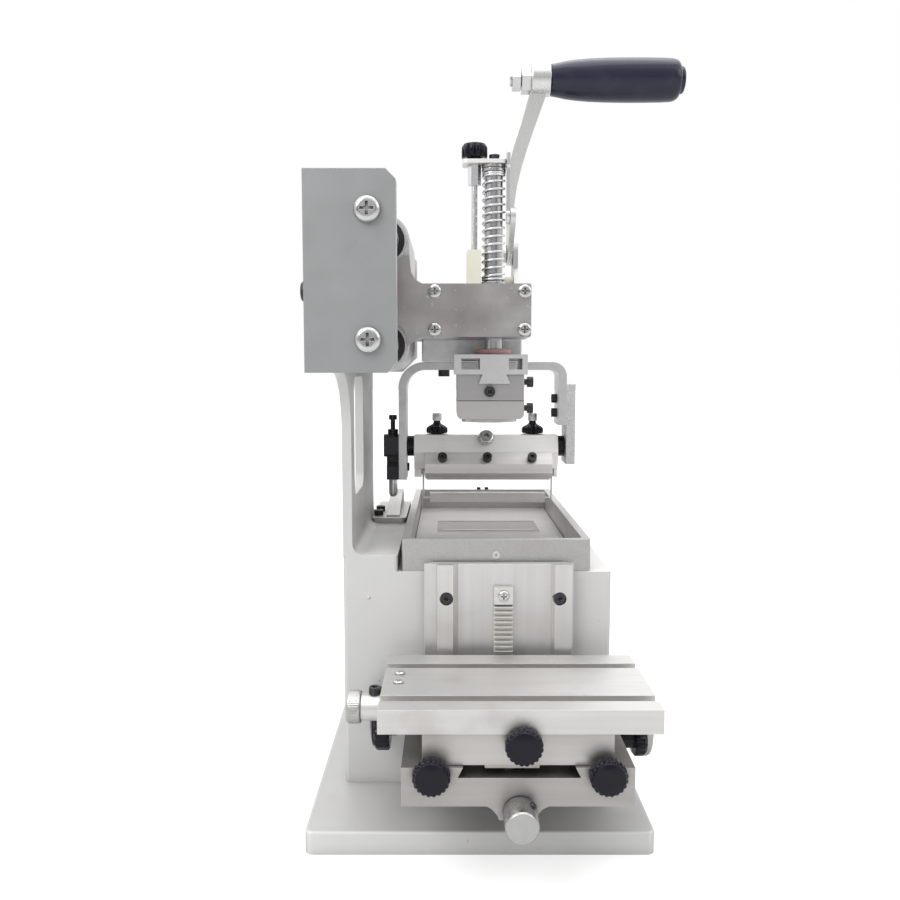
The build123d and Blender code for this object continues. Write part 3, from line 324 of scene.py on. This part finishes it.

# Nodes whose finish differs from their slot's: own tone, own milling direction, own painted shade (with some
# dirt) in recesses; base and body also get painted light and shade by the way each face looks.
SPECIAL = {
    # Painted light and shade: the base's sides, rear and top darker than its front; the body's sides and rear
    # darker, its top faces lighter.
    "base_plate": painted("base_paint", (0.70, 0.697, 0.693), 0.42, 0.35, 0.4, 0.1,
                          [("X", (0.48, 0.477, 0.473)), ("Y", (0.48, 0.477, 0.473)),
                           ("Z", (0.45, 0.447, 0.443))]),
    "body_casting": painted("body_paint", (0.60, 0.597, 0.593), 0.42, 0.35, 0.5, 0.15,
                            [("X", (0.44, 0.438, 0.436)), ("Y", (0.46, 0.457, 0.455)),
                             ("Z", (0.68, 0.675, 0.665))]),
    "guide_rails": metal("rail_metal", (0.72, 0.71, 0.69), 0.36, ALONG_Z, 0.3, 0.3, shade_and_dirt=0.5),
    "guideway_plate": metal("guideway_metal", (0.72, 0.71, 0.70), 0.42, ALONG_Z, 0.25, 0.2, shade_and_dirt=0.5),
    "knee_block": metal("knee_metal", (0.44, 0.425, 0.41), 0.42, ALONG_X, 0.4, 0.5, shade_and_dirt=0.8, reach=9.0),
    "saddle": metal("saddle_metal", (0.55, 0.535, 0.515), 0.42, ALONG_X, 0.45, 0.5, shade_and_dirt=0.5, reach=5.0),
    "pad_holder": metal("holder_metal", (0.43, 0.42, 0.425), 0.36, ALONG_X, 0.3, 0.4, shade_and_dirt=0.5),
    "pad_clamp_plate": metal("clamp_metal", (0.53, 0.515, 0.51), 0.34, ALONG_X, 0.25, 0.3, shade_and_dirt=0.5),
    "squeegee_bar": metal("bar_metal", (0.95, 0.935, 0.92), 0.45, ALONG_X, 0.3, 0.2, metallic=0.45, shade_and_dirt=0.4),
    "pad_shaft": metal("shaft_metal", (0.50, 0.50, 0.51), 0.14, ALONG_Z, 0.08, 0.1, shade_and_dirt=0.5),
    "cam_ramp": metal("ramp_metal", (0.50, 0.49, 0.48), 0.42, ALONG_Y, 0.2, 0.3, shade_and_dirt=0.4),
}


def paint_cad_nodes():
    """Give every carried-over CAD node its finish."""
    for subpart in frame["record"]["subparts"]:
        node = subpart["node"]
        material = SPECIAL.get(node, MATERIALS[subpart["material_slot"]])
        mesh = frame["nodes"][node].data
        mesh.materials.clear()
        mesh.materials.append(material)


# ---------------------------------------------------------------- mesh tools


def finish_piece(name, mesh, slot, body, replaced=None, smooth=True):
    """Turn a mesh into a placed piece: finish, slot, body and replaced CAD node."""
    piece = bpy.data.objects.new(name, mesh)
    bpy.context.scene.collection.objects.link(piece)
    mesh.materials.append(MATERIALS[slot])
    for polygon in mesh.polygons:
        polygon.use_smooth = smooth
    if smooth:
        mesh.set_sharp_from_angle(angle=math.radians(38))
    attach(piece, body)
    if replaced:
        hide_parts(replaced)
    return piece


def mesh_from(name, build):
    """Mesh made by a function that fills a bmesh."""
    mesh = bpy.data.meshes.new(name)
    work = bmesh.new()
    build(work)
    bmesh.ops.recalc_face_normals(work, faces=work.faces)
    work.to_mesh(mesh)
    work.free()
    return mesh


def aim(origin, axis):
    """Matrix that carries local +Z to the axis and the local origin to a point in mm."""
    turn = Vector((0, 0, 1)).rotation_difference(Vector(axis))
    return Matrix.Translation(Vector(origin) * MM) @ turn.to_matrix().to_4x4()


def around(place, radius, angle, height):
    """Point at an angle round a part's own axis, from sizes in mm."""
    return place @ (Vector((radius * math.cos(angle), radius * math.sin(angle), height)) * MM)


def join(work, lower, upper):
    """Faces between two rings, either of which may be one point on the axis."""
    count = max(len(lower), len(upper))
    if count == 1:
        return
    for index in range(count):
        after = (index + 1) % count
        if len(lower) == 1:
            work.faces.new((lower[0], upper[after], upper[index]))
        elif len(upper) == 1:
            work.faces.new((lower[index], lower[after], upper[0]))
        else:
            work.faces.new((lower[index], lower[after], upper[after], upper[index]))


def skin(work, rings):
    """Wall through a row of rings, with a flat face on both ends."""
    for lower, upper in zip(rings, rings[1:]):
        join(work, lower, upper)
    work.faces.new(rings[0])
    work.faces.new(rings[-1])


def lathe(name, profile, origin, axis, ripple=None, segments=96):
    """Turned mesh; profile rows are (radius, height, ripple share) in mm."""
    place = aim(origin, axis)
    angles = [2 * math.pi * index / segments for index in range(segments)]

    def build(work):
        rings = []
        for row in profile:
            radius, height, share = (*row, 0.0)[:3]
            if radius < 1e-6:
                rings.append([work.verts.new(around(place, 0, 0, height))])
                continue
            ring = []
            for angle in angles:
                drop = share * ripple(angle) if ripple else 0.0
                ring.append(work.verts.new(around(place, radius - drop, angle, height)))
            rings.append(ring)
        for lower, upper in zip(rings, rings[1:]):
            join(work, lower, upper)

    return mesh_from(name, build)


def ring_profile(inner, outer, low, high, edge=0.3):
    """Closed cross-section of a flat ring with softened edges."""
    return [
        (inner, low),
        (outer - edge, low),
        (outer, low + edge),
        (outer, high - edge),
        (outer - edge, high),
        (inner, high),
        (inner, low),
    ]


def tube(name, points, radius, sides=16):
    """Round wire along points in mm, with flat ends."""
    path = [Vector(point) * MM for point in points]

    def build(work):
        rings = []
        heading = (path[1] - path[0]).normalized()
        across = heading.orthogonal().normalized()
        for index, point in enumerate(path):
            before = path[max(index - 1, 0)]
            after = path[min(index + 1, len(path) - 1)]
            new_heading = (after - before).normalized()
            across = heading.rotation_difference(new_heading) @ across
            heading = new_heading
            up = heading.cross(across)
            ring = []
            for side in range(sides):
                angle = 2 * math.pi * side / sides
                offset = (across * math.cos(angle) + up * math.sin(angle)) * radius * MM
                ring.append(work.verts.new(point + offset))
            rings.append(ring)
        skin(work, rings)

    return mesh_from(name, build)


# ---------------------------------------------------------------- knobs and wheels


def flutes(count, sharpness):
    """Narrow grooves between round lobes."""
    return lambda angle: (0.5 + 0.5 * math.cos(count * angle)) ** sharpness


def star_knob(name, node, body, origin, axis, radius, hub, rim, lobes, depth=0.085, stud=0.0):
    """Fluted phenolic knob with a raised domed cap, facing along its axis."""
    cut = depth * radius
    top = hub + rim
    profile = [
        (0, -stud),
        (0.24 * radius, -stud),
        (0.24 * radius, 0),
        (0.52 * radius, 0),
        (0.55 * radius, 0.2),
        (0.55 * radius, hub),
        (0.93 * radius, hub, 0.6 * cut),
        (radius, hub + 0.10 * rim, cut),
        (radius, hub + 0.66 * rim, cut),
        (0.985 * radius, hub + 0.76 * rim, cut),
        (0.94 * radius, hub + 0.84 * rim, 0.8 * cut),
        (0.885 * radius, hub + 0.87 * rim, 0.1 * cut),
        (0.870 * radius, hub + 0.88 * rim),
        (0.865 * radius, hub + 0.94 * rim),
        (0.84 * radius, hub + 0.985 * rim),
        (0.79 * radius, top),
        (0.62 * radius, top + 0.045 * radius),
        (0.42 * radius, top + 0.08 * radius),
        (0.20 * radius, top + 0.10 * radius),
        (0, top + 0.106 * radius),
    ]
    if stud == 0:
        profile = [(0, 0)] + profile[3:]
    mesh = lathe(name, profile, origin, axis, flutes(lobes, 3), segments=lobes * 14)
    return finish_piece(name, mesh, "knob_plastic", body, node)


def hex_socket_head(name, body, origin, axis, radius, height, slot):
    """Knurled cap-screw head with a real hexagon socket."""
    place = aim(origin, axis)
    sides = 60
    sixth = math.pi / 3
    corner = 0.4968 * radius * 2 / math.sqrt(3)
    depth = 0.55 * height
    knurl = 0.03 * radius
    angles = [2 * math.pi * index / sides for index in range(sides)]

    def build(work):
        def ring(r, z, drop=0.0):
            return [work.verts.new(around(place, r - drop * (index % 2), angle, z))
                    for index, angle in enumerate(angles)]

        def hex_ring(z):
            verts = []
            for angle in angles:
                off_flat = (angle + sixth / 2) % sixth - sixth / 2
                r = corner * math.cos(sixth / 2) / math.cos(off_flat)
                verts.append(work.verts.new(around(place, r, angle, z)))
            return verts

        skin(work, [
            ring(radius, 0, knurl),
            ring(radius, 0.82 * height, knurl),
            ring(0.97 * radius, 0.93 * height),
            ring(0.88 * radius, height),
            ring(1.18 * corner, height),
            hex_ring(height - 0.06 * radius),
            hex_ring(height - depth),
        ])

    return finish_piece(name, mesh_from(name, build), slot, body)


def thumb_knob(name, node, body, origin):
    """Small lobed knob whose crown rises to a neck, on its threaded stud."""
    cut = 1.1
    profile = [(0, -13)] + threaded(2.5, -13, 0, 1.0) + [
        (4.6, 0), (4.6, 0.5), (7.9, 0.5, 0.6 * cut), (8.5, 1.1, cut), (8.5, 3.8, cut), (8.1, 4.7, cut),
        (6.6, 5.9, 0.8 * cut), (4.6, 7.0, 0.3 * cut), (3.4, 7.7), (2.8, 8.8), (2.6, 10.2), (0, 10.2),
    ]
    mesh = lathe(name, profile, origin, (0, 0, 1), flutes(12, 3), segments=168)
    return finish_piece(name, mesh, "knob_plastic", body, node)


def build_grip():
    """Turned, swelling handle with a small end cap."""
    foot = [(4.2, 0), (9.7, 0), (10.2, 0.5)]
    swell = [(10.3, 2), (10.9, 5), (11.9, 10), (12.8, 17), (13.5, 26), (13.9, 36), (14.1, 48),
             (14.1, 62), (13.9, 74), (13.6, 80)]
    cap = [(13.6, 80), (13.0, 82.6), (11.9, 84.3), (10.4, 85.3), (9.4, 85.6), (8.9, 85.4),
           (8.8, 85.6), (8.8, 87.2), (8.3, 88.0), (7.4, 88.4), (0, 88.5)]
    fine = []
    for low, high in zip(swell, swell[1:]):
        for step in range(4):
            t = step / 4
            fine.append((low[0] + (high[0] - low[0]) * t, low[1] + (high[1] - low[1]) * t))
    mesh = lathe("turned_grip", foot + fine + cap, (49.7, -36, 472), (1, 0, 0), segments=128)
    finish_piece("turned_grip", mesh, "grip_plastic", "grip", "handle_grip")


def build_knobs():
    """All black knobs, each standing for its CAD node, and the screws in the two thumb knobs."""
    for side, x in (("left", -27.0), ("right", 65.0)):
        star_knob(f"front_knob_{side}", f"{side}_lock_knob_front", f"{side}_front_knob",
                  (x, -200.3, 70), (0, -1, 0), radius=10.0, hub=0.6, rim=7.2, lobes=20, stud=13)
    star_knob("middle_knob", "saddle_lock_knob", "saddle_knob",
              (21, -200.4, 86.4), (0, -1, 0), radius=10.0, hub=0.6, rim=7.0, lobes=20, stud=17)
    star_knob("side_knob", "right_lock_knob", "right_knob",
              (80, -148, 67), (1, 0, 0), radius=10.0, hub=9.0, rim=6.9, lobes=12, depth=0.11, stud=13)
    star_knob("ram_knob", "top_star_knob", "top_knob",
              (-1.2, RAM_Y, 416.9), (0, 0, 1), radius=8.6, hub=1.5, rim=9.0, lobes=12, depth=0.13, stud=2.6)
    tilt_y = 48
    for side, x in (("left", -27.5), ("right", 47.2)):
        thumb_knob(f"squeegee_knob_{side}", f"pressure_knob_{side}", f"pressure_{side}",
                   (x, tilt_y, 230.4))
        hex_socket_head(f"squeegee_knob_screw_{side}", f"pressure_{side}",
                        (x, tilt_y, 240.6), (0, 0, 1), radius=3.7, height=5.8, slot="zinc_screws")
    star_knob("elevation_knob", "elevation_star_knob", "elevation_drive",
              (-50, ELEVATION_Y, ELEVATION_Z), (-1, 0, 0),
              radius=19.0, hub=4.0, rim=10.9, lobes=12, depth=0.10)


def threaded(radius, start, end, pitch):
    """Profile rows of a screw's thread between two heights."""
    rows = []
    count = int((end - start) / pitch)
    for index in range(count):
        base = start + index * pitch
        rows += [(radius, base), (radius, base + 0.3 * pitch), (0.86 * radius, base + 0.65 * pitch)]
    rows.append((radius, end))
    return rows


def build_wheels():
    """Knurled feed knobs with their screws, and the handwheel's knurled rim."""
    knurl = flutes(48, 1)
    depth = 0.28
    cross = [(0, 0)] + threaded(4.0, 0.0, 50.0, 1.5) + [
        (4.0, 58.4), (8.3, 58.4), (8.8, 58.9), (8.8, 60.0),
        (9.0, 60.4, depth), (9.0, 67.5, depth), (8.85, 68.0), (8.85, 74.4),
        (8.6, 75.4), (8.0, 76.0), (7.4, 76.0), (0, 76.0),
    ]
    mesh = lathe("cross_feed_knob", cross, (CROSS_FEED_X, -142, CROSS_FEED_Z), (0, -1, 0), knurl, 192)
    finish_piece("cross_feed_knob", mesh, "wheel_steel", "cross_screw", "cross_feed_screw")
    hex_socket_head("cross_feed_set_screw", "cross_screw", (25.5, -206, 55.2), (0.7, 0, 0.7),
                    radius=1.9, height=1.4, slot="black_screws")
    feed = [(0, 0)] + threaded(3.0, 0.0, 110.0, 2.0) + [
        (3.0, 126.5), (8.4, 126.5), (8.9, 127.0), (8.9, 127.6),
        (9.0, 127.9, depth), (9.0, 132.9, depth), (8.8, 133.3), (8.2, 134.2), (6.0, 134.2),
        (5.6, 133.8), (0, 133.8),
    ]
    mesh = lathe("table_feed_knob", feed, (60, TABLE_FEED_Y, TABLE_FEED_Z), (-1, 0, 0), knurl, 192)
    finish_piece("table_feed_knob", mesh, "wheel_steel", "table_screw", "table_feed_screw")
    hex_socket_head("feed_bearing_screw", "table", (-59, TABLE_FEED_Y, 101.4), (0, 0, 1),
                    radius=3.2, height=4.2, slot="black_screws")
    rim = [(21.2, 1.2), (22.0, 1.3), (22.3, 1.7, 0.35), (22.3, 7.8, 0.35), (22.0, 8.2), (21.2, 8.3),
           (21.2, 1.2)]
    mesh = lathe("handwheel_knurl", rim, (95, ELEVATION_Y, ELEVATION_Z), (1, 0, 0), flutes(90, 1), 360)
    finish_piece("handwheel_knurl", mesh, "wheel_steel", "elevation_drive")


# ---------------------------------------------------------------- spring, bearings, trim


def helix(centre, radius, low, high, dead, turns):
    """Points of a compression spring whose end coils are closed."""
    wire_pitch = 1.5
    live = turns - 2 * dead
    rise = (high - low - 2 * dead * wire_pitch) / live
    steps = 40
    points = []
    z = low
    for index in range(int(turns * steps) + 1):
        turn = index / steps
        angle = 2 * math.pi * turn
        points.append((centre[0] + radius * math.cos(angle), centre[1] + radius * math.sin(angle), z))
        closed = turn < dead or turn > turns - dead
        z += (wire_pitch if closed else rise) / steps
    return points


def build_spring():
    """Coil between the block and the top bracket, built at one length; on the press it flattens as the ram
    goes down.
    """
    low, high = 338.7, 408.7
    points = helix((RAM_X, RAM_Y), 7.1, low, high, dead=1.5, turns=16)
    mesh = tube("return_coil", points, 0.74, sides=14)
    coil = finish_piece("return_coil", mesh, "spring_steel", "carriage", "return_spring")
    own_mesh(coil)


def build_bearing_trim():
    """Seals and retaining rings on the bushings' end faces."""
    front, rear = -75.0, 10.0
    for level, z in ROD_LEVELS:
        for end, y, direction in (("front", front, -1), ("rear", rear, 1)):
            place = (ROD_X, y, z)
            axis = (0, direction, 0)
            seal = lathe(f"seal_{level}_{end}", ring_profile(10.15, 13.3, -0.5, 0.45), place, axis)
            finish_piece(f"seal_{level}_{end}", seal, "seal_rubber", "carriage")
            lip = lathe(f"seal_lip_{level}_{end}", ring_profile(10.12, 11.2, -0.4, 0.9, 0.2), place, axis)
            finish_piece(f"seal_lip_{level}_{end}", lip, "seal_rubber", "carriage")
            build_circlip(f"circlip_{level}_{end}", place, axis)


def build_circlip(name, origin, axis):
    """Flat open ring with two eared ends, its gap towards -X."""
    place = aim(origin, axis)
    half_gap = math.radians(24)
    steps = 60
    inner, outer = 13.5, 14.9
    ear = 1.4
    back, front = 0.05, 0.5

    def build(work):
        sections = []
        for index in range(steps + 1):
            angle = math.pi + half_gap + (2 * math.pi - 2 * half_gap) * index / steps
            in_ear = min(index, steps - index) < 3
            bore = inner - (ear if in_ear else 0.0)
            corners = ((bore, back), (outer, back), (outer, front), (bore, front))
            sections.append([work.verts.new(around(place, r, angle, z)) for r, z in corners])
        skin(work, sections)

    return finish_piece(name, mesh_from(name, build), "bearing_steel", "carriage", smooth=False)


def build_spreader_eyelets():
    """Two turns of wire where each of the spreader's wires hangs on its pin."""
    steps = 48
    loop, half_width = 2.6, 0.8
    for side, x in (("left", -38.1), ("right", 62.2)):
        points = []
        for index in range(steps + 1):
            angle = 2 * math.pi * index / 24
            drift = -half_width + 2 * half_width * index / steps
            points.append((x + drift, 45 + loop * math.sin(angle), 200 + loop * math.cos(angle)))
        mesh = tube(f"eyelet_{side}", points, 0.6, sides=10)
        finish_piece(f"eyelet_{side}", mesh, "spring_steel", "spreader")


def rounded_slab(name, x, y, z, radius):
    """Thin flat plate with rounded corners, in mm."""
    centres = [(x[1] - radius, y[1] - radius), (x[0] + radius, y[1] - radius),
               (x[0] + radius, y[0] + radius), (x[1] - radius, y[0] + radius)]
    outline = []
    for quarter, centre in enumerate(centres):
        for step in range(7):
            angle = math.pi / 2 * (quarter + step / 6)
            outline.append((centre[0] + radius * math.cos(angle), centre[1] + radius * math.sin(angle)))

    def build(work):
        skin(work, [[work.verts.new(Vector((px, py, level)) * MM) for px, py in outline] for level in z])

    return mesh_from(name, build)


def build_ink_film():
    """Dry ink left in the plate's etched panel, and a lighter wiped band along its front."""
    film = rounded_slab("ink_film", (-26.8, 50.8), (21.2, 71.8), (156.5, 156.72), 1.3)
    finish_piece("ink_film", film, "ink_residue", "frame", smooth=False)
    band = rounded_slab("wiped_band", (-22, 47), (30, 33.5), (156.6, 157.0), 1.2)
    finish_piece("wiped_band", band, "tray_aluminium", "frame", smooth=False)


def build_seam():
    """Dark sheet between the pad holder and its clamp plate, a little proud all round, standing for the shade
    in their seam.
    """
    node = frame["nodes"]["pad_clamp_plate"]
    corners = [node.matrix_world @ Vector(corner) / MM for corner in node.bound_box]
    low = [min(corner[i] for corner in corners) for i in range(3)]
    high = [max(corner[i] for corner in corners) for i in range(3)]
    proud = 0.12
    seam_shade_sheet = rounded_slab("clamp_seam_shade", (low[0] - proud, high[0] + proud), (low[1] - proud, high[1] + proud),
                        (high[2] - 0.3, high[2] + 0.2), 0.8)
    finish_piece("clamp_seam_shade", seam_shade_sheet, "black_oxide", "ram", smooth=False)


def build_small_trim():
    """Table screws' button heads, dark sheet for the shade in the clamp seam, stop bush screw, cast blister,
    collars on the rods.
    """
    dome = [(0, 0), (2.8, 0), (2.8, 0.3), (2.4, 0.8), (1.6, 1.15), (0.7, 1.3), (0, 1.32)]
    for end, y in (("rear", -143.5), ("front", -158.5)):
        button = lathe(f"button_head_{end}", dome, (-46.5, y, 104.3), (0, 0, 1), segments=48)
        finish_piece(f"button_head_{end}", button, "zinc_screws", "table")
    build_seam()
    hex_socket_head("stop_bush_screw", "carriage", (20.4, -26, 339.6), (-1, 0, 0),
                    radius=2.6, height=0.9, slot="black_screws")
    bump = [(0, -0.4), (1.2, -0.4), (1.15, 0.1), (0.9, 0.5), (0.5, 0.7), (0, 0.75)]
    blister = lathe("cast_blister", bump, (-69, -93, 136), (0, -1, 0))
    finish_piece("cast_blister", blister, "casting_paint", "frame")
    sleeve = ring_profile(10.0, 13.2, 0.0, 2.2, 0.4)
    for level, z in ROD_LEVELS:
        collar = lathe(f"rod_collar_{level}", sleeve, (ROD_X, -175, z), (0, 1, 0))
        finish_piece(f"rod_collar_{level}", collar, "ground_steel", "frame")


# ---------------------------------------------------------------- studio


def build_floor():
    """Pale floor, wide enough to reach the horizon."""
    half = 12.0

    def build(work):
        rows = []
        count = 12
        for row in range(count + 1):
            y = -half + 2 * half * row / count
            line = [work.verts.new((-half + 2 * half * i / count, y, 0)) for i in range(count + 1)]
            rows.append(line)
        for a, b in zip(rows, rows[1:]):
            for i in range(count):
                work.faces.new((a[i], a[i + 1], b[i + 1], b[i]))

    mesh = mesh_from("floor", build)
    finish = Finish("floor", (0.60, 0.60, 0.60), 0.0, 0.8)
    finish.tint(finish.remap(finish.noise(3), 0.4, 0.6, 0.0, 0.3), (0.64, 0.64, 0.64))
    finish.shader.inputs["Emission Color"].default_value = (1, 1, 1, 1)
    seen = finish.node("ShaderNodeLightPath").outputs["Is Camera Ray"]
    finish.link(finish.math("MULTIPLY", seen, 0.5), finish.shader.inputs["Emission Strength"])
    mesh.materials.append(finish.done())
    floor = bpy.data.objects.new("floor", mesh)
    bpy.context.scene.collection.objects.link(floor)


def area_light(name, place, target, size, power):
    """Square lamp at a place, facing a target."""
    data = bpy.data.lights.new(name, "AREA")
    data.shape = "SQUARE"
    data.size = size
    data.energy = power
    light = bpy.data.objects.new(name, data)
    light.location = place
    aim_at = Vector(target) - Vector(place)
    light.rotation_euler = aim_at.to_track_quat("-Z", "Y").to_euler()
    bpy.context.scene.collection.objects.link(light)


def build_world():
    """White room, greyer behind the camera so that metal has something to mirror."""
    depth_stops = ((0.0, 0.36), (0.03, 0.34), (0.055, 0.13), (0.115, 0.13), (0.17, 0.44),
                   (0.5, 0.62), (0.7, 0.80), (1.0, 0.60))
    depth_gain = 1.3
    height_glow = {"From Min": 0.05, "From Max": 0.8, "To Min": 0.0, "To Max": 0.80}
    world = bpy.data.worlds.new("studio")
    bpy.context.scene.world = world
    world.use_nodes = True
    tree = world.node_tree
    tree.nodes.clear()
    make = tree.nodes.new
    link = tree.links.new
    coords = make("ShaderNodeTexCoord")
    split = make("ShaderNodeSeparateXYZ")
    link(coords.outputs["Generated"], split.inputs["Vector"])
    place = make("ShaderNodeMapRange")
    place.inputs["From Min"].default_value = -1.0
    link(split.outputs["Y"], place.inputs["Value"])
    ramp = make("ShaderNodeValToRGB")
    while len(ramp.color_ramp.elements) < len(depth_stops):
        ramp.color_ramp.elements.new(0.5)
    for element, (position, level) in zip(ramp.color_ramp.elements, depth_stops):
        element.position = position
        element.color = (level, level, level, 1.0)
    link(place.outputs["Result"], ramp.inputs["Fac"])
    depth = make("ShaderNodeMath")
    depth.operation = "MULTIPLY"
    depth.inputs[1].default_value = depth_gain
    link(ramp.outputs["Color"], depth.inputs[0])
    height = make("ShaderNodeMapRange")
    for key, value in height_glow.items():
        height.inputs[key].default_value = value
    link(split.outputs["Z"], height.inputs["Value"])
    total = make("ShaderNodeMath")
    total.operation = "ADD"
    link(depth.outputs["Value"], total.inputs[0])
    link(height.outputs["Result"], total.inputs[1])
    seen = make("ShaderNodeLightPath")
    choose = make("ShaderNodeMix")
    choose.inputs["B"].default_value = 1.0
    link(seen.outputs["Is Camera Ray"], choose.inputs["Factor"])
    link(total.outputs["Value"], choose.inputs["A"])
    background = make("ShaderNodeBackground")
    background.inputs["Color"].default_value = (1, 1, 1, 1)
    link(choose.outputs["Result"], background.inputs["Strength"])
    output = make("ShaderNodeOutputWorld")
    link(background.outputs["Background"], output.inputs["Surface"])


def build_camera():
    """Front view from just left of the middle, tipped down by 5.14 degrees."""
    data = bpy.data.cameras.new("camera")
    data.sensor_width = 36.0
    data.lens = 35.6
    data.clip_start = 0.01
    camera = bpy.data.objects.new("camera", data)
    camera.location = (-0.0173, -0.648, 0.280)
    camera.rotation_euler = (math.radians(90 - 5.14), 0.0, 0.0)
    bpy.context.scene.collection.objects.link(camera)
    bpy.context.scene.camera = camera


def build_studio():
    """Floor, room, camera and three lamps."""
    build_floor()
    build_world()
    build_camera()
    target = (0.0, 0.0, 0.22)
    area_light("key", (-0.8, -1.0, 1.15), target, size=0.8, power=10.2)
    area_light("fill", (1.2, -0.5, 1.0), target, size=0.6, power=1.8)
    area_light("top", (0.1, 0.1, 1.7), target, size=1.2, power=6.8)
    bpy.context.scene.view_settings.view_transform = "Standard"


paint_cad_nodes()
build_knobs()
build_wheels()
build_spring()
build_bearing_trim()
build_spreader_eyelets()
build_grip()
build_ink_film()
build_small_trim()
build_studio()
